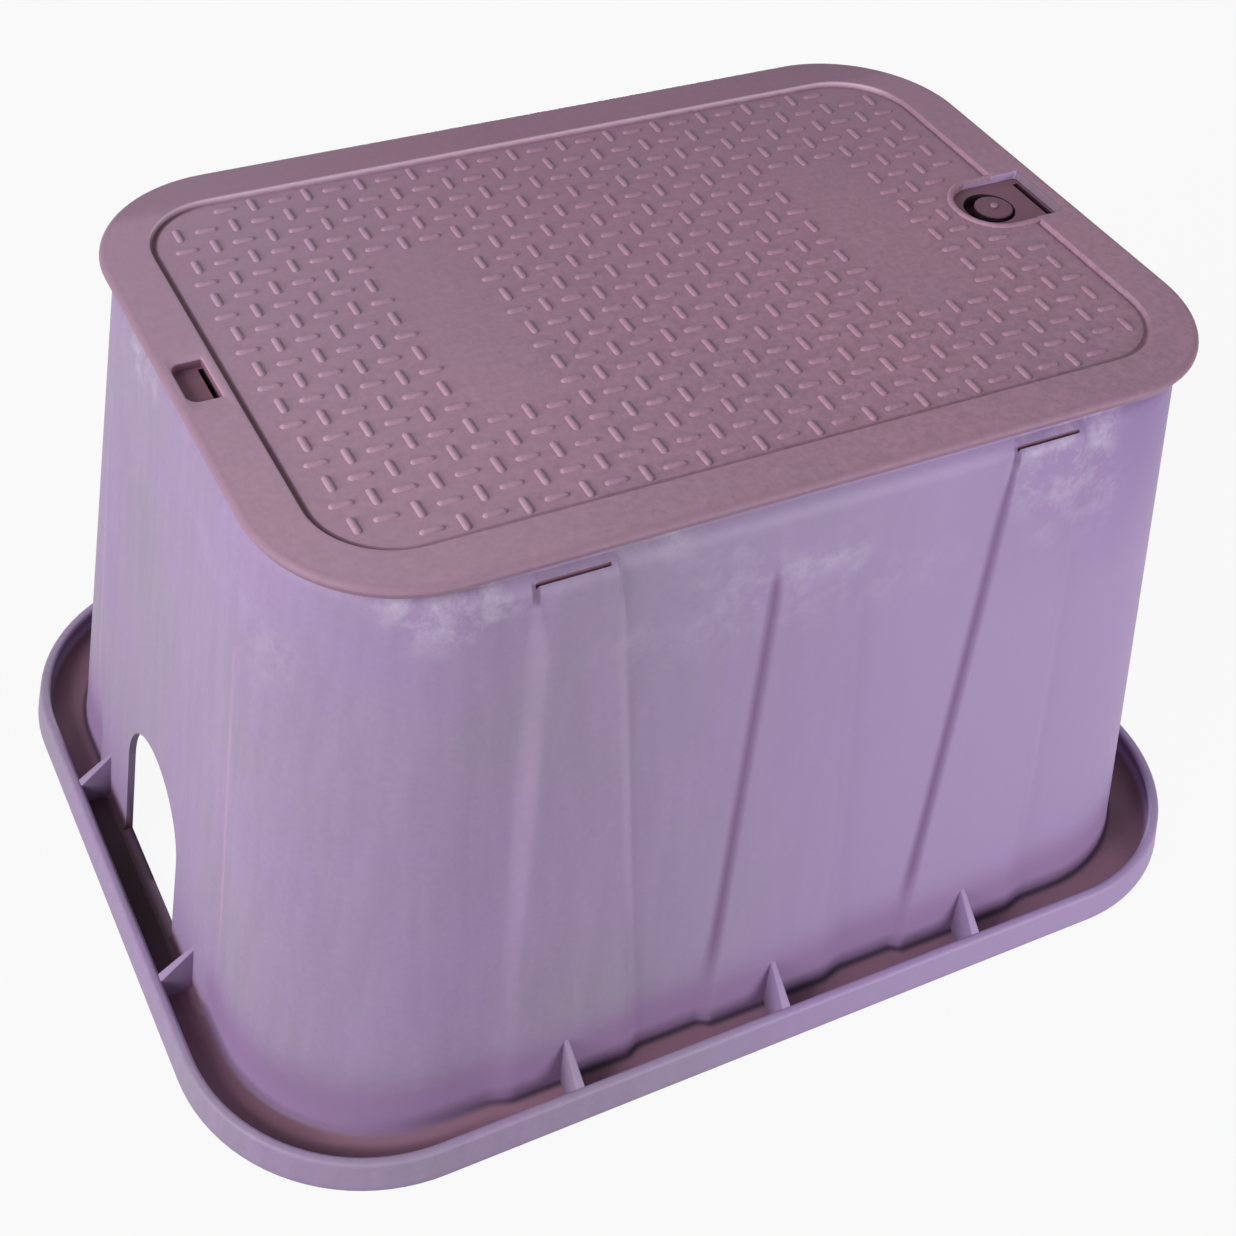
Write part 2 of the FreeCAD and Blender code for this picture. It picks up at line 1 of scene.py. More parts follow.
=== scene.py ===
# %% [markdown]
# # An irrigation valve box
# A valve box is a bottomless plastic box that is buried around a valve, with a lift-off cover at lawn
# level. The measured model is loaded first, because every piece here has to lie inside it.
# Lengths are in millimetres all through, and each piece turns them to Blender's metres at its end.

# %% Load the measured model
import bmesh
import bpy
import numpy as np
from mathutils import Matrix, Vector


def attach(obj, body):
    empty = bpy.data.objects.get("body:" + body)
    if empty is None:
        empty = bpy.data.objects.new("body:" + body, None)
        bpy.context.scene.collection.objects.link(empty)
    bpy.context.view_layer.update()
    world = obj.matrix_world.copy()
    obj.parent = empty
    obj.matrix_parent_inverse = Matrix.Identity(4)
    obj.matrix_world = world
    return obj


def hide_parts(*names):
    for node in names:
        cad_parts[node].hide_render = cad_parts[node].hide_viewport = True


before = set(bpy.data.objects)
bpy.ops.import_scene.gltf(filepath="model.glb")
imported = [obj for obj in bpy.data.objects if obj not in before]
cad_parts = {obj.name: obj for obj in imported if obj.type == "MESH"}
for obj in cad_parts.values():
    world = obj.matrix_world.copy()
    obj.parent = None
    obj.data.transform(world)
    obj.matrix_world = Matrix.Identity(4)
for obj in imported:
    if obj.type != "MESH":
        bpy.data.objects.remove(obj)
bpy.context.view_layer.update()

MM = 0.001

# %% [markdown]
# ## The camera
# The camera comes first, so that each later render can be laid beside the photograph. It could be
# placed by eye, but here its place was fitted to the outlines of the cover and the flange: it stands in
# front, to the left and above. Its lens axis meets the picture a little left of the middle, which is
# what the small shift stands for.

# %% Camera
IMAGE_PIXELS = 1236
FOCAL_PIXELS = 1919.12
AXIS_PIXEL_X = 550.0
AXIS_PIXEL_Y = 608.0
CAMERA_AZIMUTH = np.radians(-29.598)
CAMERA_ELEVATION = np.radians(43.474)
CAMERA_ROLL = np.radians(5.206)
CAMERA_DISTANCE = 951.27
CAMERA_SIDE = 34.55
CAMERA_DROP = 33.47
AIM = np.array([0.0, 0.0, 150.0])
SENSOR_WIDTH = 36.0


def add_camera():
    """Put the camera on a line through the aim, turn it about that line, and make it the scene's."""
    flat = np.cos(CAMERA_ELEVATION)
    back = np.array([np.sin(CAMERA_AZIMUTH) * flat, -np.cos(CAMERA_AZIMUTH) * flat,
                     np.sin(CAMERA_ELEVATION)])
    level = np.cross(-back, (0.0, 0.0, 1.0))
    level /= np.linalg.norm(level)
    above = np.cross(level, -back)
    right = np.cos(CAMERA_ROLL) * level + np.sin(CAMERA_ROLL) * above
    up = np.cos(CAMERA_ROLL) * above - np.sin(CAMERA_ROLL) * level
    place = AIM + back * CAMERA_DISTANCE - right * CAMERA_SIDE - up * CAMERA_DROP
    data = bpy.data.cameras.new("camera")
    data.sensor_width = SENSOR_WIDTH
    data.lens = FOCAL_PIXELS * SENSOR_WIDTH / IMAGE_PIXELS
    data.shift_x = (IMAGE_PIXELS / 2 - AXIS_PIXEL_X) / IMAGE_PIXELS
    data.shift_y = (AXIS_PIXEL_Y - IMAGE_PIXELS / 2) / IMAGE_PIXELS
    camera = bpy.data.objects.new("camera", data)
    turn = Matrix(np.column_stack([right, up, back]).tolist()).to_4x4()
    camera.matrix_world = Matrix.Translation(Vector(place * MM)) @ turn
    bpy.context.collection.objects.link(camera)
    bpy.context.scene.camera = camera
    return data


bpy.context.scene.view_settings.view_transform = "Standard"
lens = add_camera()
print("lens %.1f mm, shift %.3f %.3f" % (lens.lens, lens.shift_x, lens.shift_y))

# %% [markdown]
# ## From arrays to meshes
# Both mouldings are surfaces on a grid: one direction runs round the box, the other along the
# section of its wall. The points are worked out as whole arrays, and one function turns such a grid
# into faces. When the round direction is anticlockwise seen from above, and the other one climbs the
# outside, every face points outwards. Boxes pushed and pulled by hand would give the same forms, but
# their sizes could not be read or changed later.

# %% Mesh helpers
SHARP_DEGREES = 32.0


def make_piece(name, points, faces, sharp_degrees=SHARP_DEGREES):
    """A mesh object from an array of points in millimetres and a list of faces."""
    mesh = bpy.data.meshes.new(name)
    mesh.from_pydata((np.asarray(points) * MM).tolist(), [], faces)
    mesh.polygons.foreach_set("use_smooth", np.ones(len(mesh.polygons), dtype=bool))
    mesh.set_sharp_from_angle(angle=np.radians(sharp_degrees))
    mesh.update()
    piece = bpy.data.objects.new(name, mesh)
    bpy.context.collection.objects.link(piece)
    return piece


def grid_faces(rows, columns, closed_rows=False):
    """Four-cornered faces between neighbours on a grid whose columns close on themselves."""
    row = np.arange(rows if closed_rows else rows - 1)[:, None]
    column = np.arange(columns)[None, :]
    next_row = (row + 1) % rows
    next_column = (column + 1) % columns
    corners = [row * columns + column, row * columns + next_column,
               next_row * columns + next_column, next_row * columns + column]
    return np.stack(np.broadcast_arrays(*corners), axis=-1).reshape(-1, 4).tolist()


def capped_stack(rings):
    """Points and faces of a solid through closed outlines, with a face across each end."""
    rows, columns = rings.shape[:2]
    faces = grid_faces(rows, columns)
    faces.append(list(range(columns))[::-1])
    faces.append(list(range((rows - 1) * columns, rows * columns)))
    return rings.reshape(-1, 3), faces


def joined(parts):
    """One set of points and faces from several."""
    points = np.concatenate([part[0] for part in parts])
    faces = []
    offset = 0
    for part_points, part_faces in parts:
        faces.extend([[index + offset for index in face] for face in part_faces])
        offset += len(part_points)
    return points, faces


def smooth_step(share):
    """Rise from 0 to 1 with level ends: 3 s squared less 2 s cubed."""
    share = np.clip(share, 0.0, 1.0)
    return share * share * (3.0 - 2.0 * share)


def rise(value, zero, one):
    """A smooth step that is 0 where the value is at or before `zero`, and 1 from `one` on."""
    return smooth_step((value - zero) / (one - zero))


def at_height(outline, level):
    """A flat outline carried to a height."""
    return np.column_stack([outline, np.full(len(outline), level)])


print("half way up a rise:", rise(0.5, 0.0, 1.0))

# %% [markdown]
# ## The outline round the box
# Every level of the box is a rounded rectangle. An even grid would need very many columns to show the
# narrow edges of the flutes. Here the columns on the long sides gather at those six edges and lean
# with them, so that each edge stays crisp from the foot up to the shoulder with few faces.

# %% Sizes of the box
FOOT = (501.0, 366.0, 78.0)
SHOULDER = (438.0, 300.0, 80.0)
FLANGE = (548.0, 414.0, 94.0)
SHOULDER_LEVEL = 294.0
COVER_SEAT = 299.0
WALL = 3.6
FLUTE_SPACING = 110.5
FLUTE_FOOT_HALF = 36.5
FLUTE_HEAD_HALF = 17.5
RAMP_HEAD_HALF = 0.8
RAMP_MIDDLE_HALF = 2.3
RAMP_FOOT_HALF = 3.8
RAMP_OPENS_BELOW = 290.0
RAMP_OPENS_OVER = 32.0
RAMP_WIDENS_BELOW = 100.0
LEFT_EDGE_WIDER = 1.9
LEFT_EDGE_SHIFT = 3.0
FIRST_RIGHT_EDGE_WIDER = 1.3
RIGHT_EDGE_WIDER = 2.0
FLUTES = (-1, 0, 1)
RAMP_SHARES = np.array([-1.8, -1.3, -1.0, -0.75, -0.5, -0.25, 0.0, 0.25, 0.5, 0.75, 1.0, 1.3, 1.8])
BETWEEN_EDGES = 8
BESIDE_EDGES = 9
CORNER_COLUMNS = 22
END_COLUMNS = 48


def flute_half(level):
    """Half the width of a flute: narrow at the shoulder, wide at the foot."""
    share = np.clip(level / SHOULDER_LEVEL, 0.0, 1.0)
    return FLUTE_FOOT_HALF + (FLUTE_HEAD_HALF - FLUTE_FOOT_HALF) * share


def opened_edge(level):
    """0 at the flutes' heads, where the edges are crisp, and 1 further down."""
    return rise(level, RAMP_OPENS_BELOW, RAMP_OPENS_BELOW - RAMP_OPENS_OVER)


def ramp_half(level):
    """Half the width of the slope along a flute's edge: narrow at the head, and softest at the foot."""
    opened = opened_edge(level)
    low = smooth_step(1.0 - level / RAMP_WIDENS_BELOW)
    middle = RAMP_HEAD_HALF + (RAMP_MIDDLE_HALF - RAMP_HEAD_HALF) * opened
    return middle + (RAMP_FOOT_HALF - RAMP_MIDDLE_HALF) * low


def flute_edges(flute, level):
    """Place and half width of a flute's two edges, from left to right as seen from outside."""
    half = flute_half(level)
    ramp = ramp_half(level)
    outermost = 1.0 if flute == FLUTES[0] else 0.0
    left = flute * FLUTE_SPACING - half + outermost * LEFT_EDGE_SHIFT * opened_edge(level)
    left_ramp = ramp * (1.0 + outermost * (LEFT_EDGE_WIDER - 1.0))
    right = flute * FLUTE_SPACING + half
    right_ramp = ramp * (FIRST_RIGHT_EDGE_WIDER if flute == FLUTES[0] else RIGHT_EDGE_WIDER)
    return (left, left_ramp), (right, right_ramp)


def spread(start, end, shares):
    """Points at the given shares of the way from start to end, one row for each start."""
    return start[:, None] + (end - start)[:, None] * shares[None, :]


def long_side(straight, level):
    """The x of each column on a long side, gathered at the flutes' edges."""
    edges = [edge for flute in FLUTES for edge in flute_edges(flute, level)]
    reach = RAMP_SHARES[-1]
    inside = np.arange(1, BETWEEN_EDGES) / BETWEEN_EDGES
    beside = np.arange(BESIDE_EDGES) / BESIDE_EDGES
    parts = [spread(-straight, edges[0][0] - reach * edges[0][1], beside)]
    for number, (edge, ramp) in enumerate(edges):
        parts.append(edge[:, None] + ramp[:, None] * RAMP_SHARES[None, :])
        if number + 1 < len(edges):
            following, next_ramp = edges[number + 1]
            parts.append(spread(edge + reach * ramp, following - reach * next_ramp, inside))
    parts.append(spread(edges[-1][0] + reach * edges[-1][1], straight, 1.0 - beside[::-1]))
    return np.concatenate(parts, axis=1)


def outline_grid(half_x, half_y, corner, front, side_columns, corner_columns):
    """x, y and outward direction of every column, for rows of rounded rectangles.

    A straight side lies at the half size, and a corner is a quarter circle about its own centre:
    centre + radius * (cos, sin). The columns run anticlockwise from the front side's left end, and
    `front` gives the x of those on a long side.
    """
    run_x = half_x - corner
    run_y = half_y - corner
    side = spread(-run_y, run_y, np.linspace(0.0, 1.0, side_columns))
    turn = np.radians(90.0) * np.arange(1, corner_columns + 1) / (corner_columns + 1)
    xs, ys, ways = [], [], []
    for quarter, (sign_x, sign_y) in enumerate([(1, -1), (1, 1), (-1, 1), (-1, -1)]):
        if quarter % 2 == 0:
            run, sign = front, -sign_y
            xs.append(run * sign)
            ys.append((sign_y * half_y)[:, None] * np.ones_like(run))
        else:
            run, sign = side, sign_x
            xs.append((sign_x * half_x)[:, None] * np.ones_like(run))
            ys.append(run * sign)
        ways.append(np.full(run.shape[1], np.radians(90.0 * (quarter - 1))))
        angle = turn + np.radians(90.0 * (quarter - 1))
        xs.append((sign_x * run_x)[:, None] + corner[:, None] * np.cos(angle)[None, :])
        ys.append((sign_y * run_y)[:, None] + corner[:, None] * np.sin(angle)[None, :])
        ways.append(angle)
    way = np.concatenate(ways)[None, :] * np.ones_like(half_x)[:, None]
    return np.concatenate(xs, axis=1), np.concatenate(ys, axis=1), np.cos(way), np.sin(way)


print("flute's half width in mm, at the foot and the head:", flute_half(0.0), flute_half(SHOULDER_LEVEL))

# %% [markdown]
# ## The box's section
# The wall, the shoulder and the flange are one moulding. A wall with a flange joined on would show a
# seam, so they are one closed skin. Its section starts under the flange, goes up the lip, down into the
# channel, up the fluted wall, over the shoulder and the collar, and back down the inside.

# %% Sizes of the section
LIP_HEIGHT = 17.0
LIP_LEAN = 3.0
LIP_THICKNESS = 5.0
LIP_ROUND = 2.0
FLANGE_FLOOR = 4.0
FLOOR_FILLET = 3.0
EDGE_ROUND = 1.2
COLLAR_INSET = 4.0
COLLAR_THICKNESS = 4.5
COLLAR_ROUND = 0.9
SHOULDER_PLATE = 4.0


def arc(centre_out, centre_z, radius, start, end, steps):
    """Points on part of a circle in the section: out = centre + r cos, up = centre + r sin."""
    angle = np.radians(np.linspace(start, end, steps))
    return np.stack([centre_out + radius * np.cos(angle), centre_z + radius * np.sin(angle)], axis=1)


def line(start, end, steps):
    """Points on a straight stretch of the section, without its two ends."""
    share = np.arange(1, steps + 1)[:, None] / (steps + 1)
    return np.array(start)[None, :] + (np.array(end) - np.array(start))[None, :] * share


def flange_section():
    """The lip's section, as distance out from the flange's edge and height."""
    lip_inner = -LIP_THICKNESS - LIP_LEAN
    top = LIP_HEIGHT - LIP_ROUND
    lean_at_top = -LIP_LEAN * top / LIP_HEIGHT
    return np.concatenate([
        arc(-EDGE_ROUND, EDGE_ROUND, EDGE_ROUND, -90, 0, 4),
        line((0.0, EDGE_ROUND), (lean_at_top, top), 4),
        arc(lean_at_top - LIP_ROUND, top, LIP_ROUND, 0, 90, 6),
        arc(lip_inner + LIP_ROUND, top, LIP_ROUND, 90, 180, 6),
        line((lip_inner, top), (-LIP_THICKNESS, FLANGE_FLOOR + FLOOR_FILLET), 3),
        arc(-LIP_THICKNESS - FLOOR_FILLET, FLANGE_FLOOR + FLOOR_FILLET, FLOOR_FILLET, 0, -90, 6),
    ])


def rounded(size, out, level):
    """Half sizes, corner and height of rows that keep their distance from an outline."""
    return np.stack([size[0] / 2 + out, size[1] / 2 + out, size[2] + out, level + 0.0 * out], axis=1)


def wall_rows(out, level):
    """Rows of the tapered wall: its size runs evenly from the foot to the shoulder."""
    share = level / SHOULDER_LEVEL
    return rounded([foot + (head - foot) * share for foot, head in zip(FOOT, SHOULDER)], out, level)


WALL_LEVELS = np.concatenate([
    np.linspace(FLANGE_FLOOR + FLOOR_FILLET, 19.0, 9), np.linspace(23.0, 250.0, 44),
    np.linspace(252.0, 284.0, 17), np.linspace(285.5, 289.0, 3),
])
# Each point of the shoulder's slope is a distance out from the wall's line and a height.
SHOULDER_SLOPE = np.array([[-0.2, 290.5], [-0.6, 292.0], [-1.2, 293.4],
                           [-2.0, 294.7], [-2.9, 295.8], [-3.6, 296.7]])
SLOPE_RELIEF = np.array([1.0, 1.0, 0.9, 0.6, 0.25, 0.0])
CHANNEL_SHARES = np.array([0.2, 0.4, 0.55, 0.68, 0.78, 0.86, 0.93])
CHANNEL_RELIEF = 0.6
COLLAR_FOOT = SHOULDER_SLOPE[-1, 1] + 0.8
INNER_ROWS = 30


def box_rows():
    """Every row of the box's section, and how much of the flutes' relief each row takes."""
    flange = flange_section()
    lip = rounded(FLANGE, *flange.T)
    foot_fillet = arc(FLOOR_FILLET, FLANGE_FLOOR + FLOOR_FILLET, FLOOR_FILLET, 270, 180, 6)
    foot = wall_rows(*foot_fillet.T)
    channel = lip[-1] + (foot[0] - lip[-1]) * CHANNEL_SHARES[:, None]
    wall = wall_rows(0.0 * WALL_LEVELS, WALL_LEVELS)
    shoulder = wall_rows(*SHOULDER_SLOPE.T)
    collar_out = -COLLAR_INSET
    collar_in = -COLLAR_INSET - COLLAR_THICKNESS
    collar_bits = np.concatenate([
        np.array([[collar_out, COLLAR_FOOT]]),
        arc(collar_out - COLLAR_ROUND, COVER_SEAT - COLLAR_ROUND, COLLAR_ROUND, 0, 90, 4),
        arc(collar_in + COLLAR_ROUND, COVER_SEAT - COLLAR_ROUND, COLLAR_ROUND, 90, 180, 4),
        np.array([[collar_in, SHOULDER_LEVEL - SHOULDER_PLATE]]),
    ])
    collar = rounded(SHOULDER, *collar_bits.T)
    inner_levels = np.linspace(SHOULDER_LEVEL - SHOULDER_PLATE, 0.0, INNER_ROWS)
    inner = wall_rows(0.0 * inner_levels - WALL, inner_levels)
    parts = [(lip, 0.0), (channel, CHANNEL_RELIEF), (foot, 1.0), (wall, 1.0),
             (shoulder, SLOPE_RELIEF), (collar, 0.0), (inner, 1.0)]
    rows = np.concatenate([rows for rows, _ in parts])
    weight = np.concatenate([np.zeros(len(rows)) + value for rows, value in parts])
    return rows, weight


rows, relief_weight = box_rows()
print("rows of the section:", len(rows))

# %% [markdown]
# ## The flutes
# Three wide flutes stiffen each long side. They stand 3.4 mm proud at the foot and a third less at
# their heads. The outer two run up to the shoulder, and the middle one fades out a little below it.
# Each edge is a short slope, which catches the light on one side and lies in shade on the other. The
# end walls have a flat panel round the pipe slot, which fades out upwards. A bump in the material
# could fake all this, but it would leave the outline and the exported mesh flat, so the points move.

# %% Relief of the walls
FLUTE_PROUD = 3.4
OUTER_HEAD_PROUD = 2.2
MIDDLE_HEAD = 271.0
MIDDLE_HEAD_PROUD = 2.0
MIDDLE_HEAD_FADE = 18.0
PANEL_HALF = 85.5
PANEL_HEAD = 262.0
PANEL_PROUD = 2.4
PANEL_EDGE = 3.5
FACES_SIDE = 0.999


def seen_across(x, y):
    """x counted from left to right by somebody who looks at that long side from outside."""
    return np.where(y < 0.0, x, -x)


def flute_relief(across, level):
    """How far a long wall stands out: each flute's height times a smooth step over each of its edges."""
    outer_proud = FLUTE_PROUD + (OUTER_HEAD_PROUD - FLUTE_PROUD) * level / SHOULDER_LEVEL
    middle_proud = FLUTE_PROUD + (MIDDLE_HEAD_PROUD - FLUTE_PROUD) * level / MIDDLE_HEAD
    middle_proud = middle_proud * rise(level, MIDDLE_HEAD, MIDDLE_HEAD - MIDDLE_HEAD_FADE)
    relief = np.zeros(np.broadcast(across, level).shape)
    for flute in FLUTES:
        (left, left_ramp), (right, right_ramp) = flute_edges(flute, level)
        proud = middle_proud if flute == 0 else outer_proud
        up = rise(across, left - left_ramp, left + left_ramp)
        down = rise(across, right + right_ramp, right - right_ramp)
        relief = relief + proud * up * down
    return relief


def panel_relief(y, level):
    """How far an end wall stands out at y: a flat panel with soft edges that fades out upwards."""
    proud = PANEL_PROUD * np.clip(1.0 - level / PANEL_HEAD, 0.0, 1.0)
    return proud * rise(np.abs(y), PANEL_HALF, PANEL_HALF - PANEL_EDGE)


def box_skin():
    """The whole box as one closed grid: outline plus outward direction times relief."""
    half_x, half_y, corner, level = rows.T
    front = long_side(half_x - corner, level)
    x, y, way_x, way_y = outline_grid(half_x, half_y, corner, front, END_COLUMNS, CORNER_COLUMNS)
    high = np.clip(level, 0.0, SHOULDER_LEVEL)[:, None] * np.ones_like(x)
    on_long_side = np.abs(way_y) > FACES_SIDE
    flutes = flute_relief(seen_across(x, y), high)
    out = np.where(on_long_side, flutes, panel_relief(y, high) * np.abs(way_x)) * relief_weight[:, None]
    z = level[:, None] * np.ones_like(x)
    points = np.stack([x + way_x * out, y + way_y * out, z], axis=-1)
    return points.reshape(-1, 3), grid_faces(*x.shape, closed_rows=True)


box_shell = make_piece("box_shell", *box_skin())
print("box shell faces:", len(box_shell.data.polygons))

# %% [markdown]
# ## Pipe slots and vents
# Each end wall has an arched slot that drops over the pipe, and a narrow blind vent lies over the head
# of each outer flute, close under the cover. The grid could be bent round them, but a cut is sharper
# and simpler: solids of the openings' own shape are taken away, and then removed.

# %% Cut the openings
SLOT_HALF = 37.0
SLOT_HEIGHT = 95.0
SLOT_RAISED = 0.4
SLOT_CUT = (226.0, 258.0)
VENT_HALF = 15.9
VENT_ASIDE = 1.7
VENT_GAP = 1.3
VENT_OUT = -0.2
VENT_LOW = 286.0


def extruded(outline, start, end, along):
    """A solid from a flat outline carried straight along one axis."""
    order = {"x": (2, 0, 1), "y": (0, 2, 1), "z": (0, 1, 2)}[along]
    return capped_stack(np.stack([at_height(outline, depth)[:, order] for depth in (start, end)]))


def arch_outline():
    """The slot's outline: straight sides and a half circle on top."""
    angle = np.linspace(0.0, np.pi, 33)
    top = SLOT_HEIGHT - SLOT_HALF
    ring = np.stack([SLOT_HALF * np.cos(angle), top + SLOT_HALF * np.sin(angle)], axis=1)
    sill = FLANGE_FLOOR + SLOT_RAISED
    return np.concatenate([ring, [[-SLOT_HALF, sill], [SLOT_HALF, sill]]])


def rectangle(x, y, half_x, half_y):
    """Four corners, anticlockwise."""
    return np.array([[x - half_x, y - half_y], [x + half_x, y - half_y],
                     [x + half_x, y + half_y], [x - half_x, y + half_y]])


def recalculated(piece):
    """Turn every face of a closed mesh outwards."""
    work = bmesh.new()
    work.from_mesh(piece.data)
    bmesh.ops.recalc_face_normals(work, faces=work.faces)
    work.to_mesh(piece.data)
    work.free()
    return piece


def carve(piece, parts, operation="DIFFERENCE"):
    """Cut solids out of a piece, and keep the result as the piece's own mesh."""
    tool = recalculated(make_piece("tool", *joined(parts)))
    modifier = piece.modifiers.new("carve", "BOOLEAN")
    modifier.operation = operation
    modifier.solver = "EXACT"
    modifier.object = tool
    shaped = piece.evaluated_get(bpy.context.evaluated_depsgraph_get())
    mesh = bpy.data.meshes.new_from_object(shaped)
    piece.modifiers.clear()
    piece.data = mesh
    mesh.set_sharp_from_angle(angle=np.radians(SHARP_DEGREES))
    bpy.data.objects.remove(tool)
    return piece


def box_openings():
    """Cutting solids: an arch through each end wall, and four thin slabs down into the shoulder."""
    near, far = SLOT_CUT
    parts = [extruded(arch_outline(), near, far, "x"), extruded(arch_outline(), -far, -near, "x")]
    vent_y = SHOULDER[1] / 2 + VENT_OUT
    for x in (-FLUTE_SPACING, FLUTE_SPACING):
        for y in (-vent_y, vent_y):
            aside = x + VENT_ASIDE * np.sign(y)
            parts.append(extruded(rectangle(aside, y, VENT_HALF, VENT_GAP / 2), VENT_LOW, COVER_SEAT, "z"))
    return parts


carve(box_shell, box_openings())
print("box shell faces after cutting:", len(box_shell.data.polygons))

# %% [markdown]
# ## Gussets
# Ten thin webs tie the wall to the lip. Each is a triangle whose sloping edge runs from the wall down
# to the lip, and it is thinner at the top so that it leaves the mould. A Solidify modifier would give
# an even thickness, so a web is one solid through its two outlines, and a small bevel breaks its edges.

# %% Gussets
GUSSET_TOP = 34.0
GUSSET_LOW_HALF = 3.1
GUSSET_TOP_HALF = 1.2
END_GUSSET_OFFSET = 66.0
WEB_SUNK = 1.0
WEB_BELOW_LIP = 0.4
WEB_BEVEL = 0.6


def gusset_section(wall_low, wall_high, lip):
    """The web's triangle, as distance from the box's middle and height."""
    low = FLANGE_FLOOR - WEB_SUNK
    return np.array([[wall_low, low], [lip + WEB_SUNK, low],
                     [lip - WEB_BELOW_LIP, LIP_HEIGHT - LIP_ROUND], [wall_high, GUSSET_TOP]])


def gusset(along_x, offset, side):
    """A web between its two faces, whose half thickness shrinks with the height."""
    axis = 0 if along_x else 1
    foot = wall_rows(np.zeros(1), np.array([FLANGE_FLOOR]))[0, axis]
    head = wall_rows(np.zeros(1), np.array([GUSSET_TOP]))[0, axis]
    stands_proud = 0.0 if along_x else FLUTE_PROUD * (1.0 - GUSSET_TOP / SHOULDER_LEVEL)
    lip = FLANGE[axis] / 2 - LIP_THICKNESS
    section = gusset_section(foot - WALL / 2, head + stands_proud - WALL / 2, lip)
    share = (section[:, 1] - FLANGE_FLOOR) / (GUSSET_TOP - FLANGE_FLOOR)
    half = GUSSET_LOW_HALF + (GUSSET_TOP_HALF - GUSSET_LOW_HALF) * share
    rings = []
    for face in (-1.0, 1.0):
        across = offset + face * half
        out = side * section[:, 0]
        columns = (out, across) if along_x else (across, out)
        rings.append(np.column_stack([columns[0], columns[1], section[:, 1]]))
    return capped_stack(np.stack(rings))


webs = [gusset(False, x, side) for x in (-FLUTE_SPACING, 0.0, FLUTE_SPACING) for side in (-1, 1)]
webs += [gusset(True, y, side) for y in (-END_GUSSET_OFFSET, END_GUSSET_OFFSET) for side in (-1, 1)]
gussets = recalculated(make_piece("gussets", *joined(webs)))
web_bevel = gussets.modifiers.new("broken edges", "BEVEL")
web_bevel.width = WEB_BEVEL * MM
web_bevel.segments = 2
print("gussets:", len(webs))

# %% [markdown]
# ## The cover
# The cover is a second moulding: a plate with a flat border, a panel that is sunk a little for the
# tread, and a skirt that drops inside the collar. A bevelled slab would miss the fine groove round the
# panel, which draws the dark line there, so it is one closed skin again: from the underside inside
# the skirt, round the edge, to the middle of the panel.

# %% Cover plate
COVER = (441.0, 298.0, 64.0)
COVER_TOP = 305.0
COVER_ROUND = 2.6
COVER_UNDERCUT = 1.6
BORDER = 23.2
PANEL = (COVER[0] - 2 * BORDER, COVER[1] - 2 * BORDER, 36.0)
PANEL_DEPTH = 1.5
GROOVE_DEPTH = 0.8
GROOVE_WIDTH = 3.0
COVER_PLAY = 1.5
SKIRT_OUT = -COLLAR_INSET - COLLAR_THICKNESS - COVER_PLAY
SKIRT_THICKNESS = 3.4
SKIRT_DEPTH = 16.0
PANEL_FLOOR = COVER_TOP - PANEL_DEPTH
BORDER_FROM_EDGE = np.array([-3.8, -6.0])
BORDER_FROM_PANEL = np.array([12.0, 5.0, 1.3])
SKIRT_ROUND = 0.8
SKIRT_SOFT = 0.25
UNDER_EDGE_ROUND = 0.6
PLAIN_LONG = 13
PLAIN_END = 9
PLAIN_CORNER = 19


def plain_rings(section_rows):
    """Rounded rectangles with evenly spaced columns, one for each row of sizes, corner and height."""
    half_x, half_y, corner, level = section_rows.T
    front = spread(corner - half_x, half_x - corner, np.linspace(0.0, 1.0, PLAIN_LONG))
    x, y = outline_grid(half_x, half_y, corner, front, PLAIN_END, PLAIN_CORNER)[:2]
    return np.stack([x, y, level[:, None] * np.ones_like(x)], axis=-1)


def cover_rows():
    """The cover's section from the underside inside the skirt round to the panel."""
    inner = SKIRT_OUT - SKIRT_THICKNESS
    foot = COVER_SEAT - SKIRT_DEPTH
    skirt = np.array([
        [inner, COVER_SEAT], [inner, foot + SKIRT_ROUND], [inner + SKIRT_SOFT, foot + SKIRT_SOFT],
        [inner + SKIRT_ROUND, foot], [SKIRT_OUT - SKIRT_ROUND, foot],
        [SKIRT_OUT - SKIRT_SOFT, foot + SKIRT_SOFT], [SKIRT_OUT, foot + SKIRT_ROUND],
        [SKIRT_OUT, COVER_SEAT]])
    under = UNDER_EDGE_ROUND
    edge = np.concatenate([
        arc(-COVER_UNDERCUT - under, COVER_SEAT + under, under, -90, -10, 3),
        arc(-COVER_ROUND, COVER_TOP - COVER_ROUND, COVER_ROUND, 0, 90, 8),
    ])
    groove = PANEL_FLOOR - GROOVE_DEPTH
    slope = np.array([[0.4, COVER_TOP], [0.1, COVER_TOP - 0.08], [-0.1, COVER_TOP - 0.35],
                      [-0.6, groove + 0.35], [-0.9, groove], [-1.6, groove], [-2.2, groove + 0.3],
                      [-2.8, PANEL_FLOOR - 0.1], [-3.4, PANEL_FLOOR], [-7.6, PANEL_FLOOR]])
    return np.concatenate([
        rounded(SHOULDER, *skirt.T),
        rounded(COVER, *edge.T),
        rounded(COVER, BORDER_FROM_EDGE, COVER_TOP),
        rounded(PANEL, BORDER_FROM_PANEL, COVER_TOP),
        rounded(PANEL, *slope.T),
    ])


cover_plate = make_piece("cover_plate", *capped_stack(plain_rings(cover_rows())))
print("cover plate faces:", len(cover_plate.data.polygons))

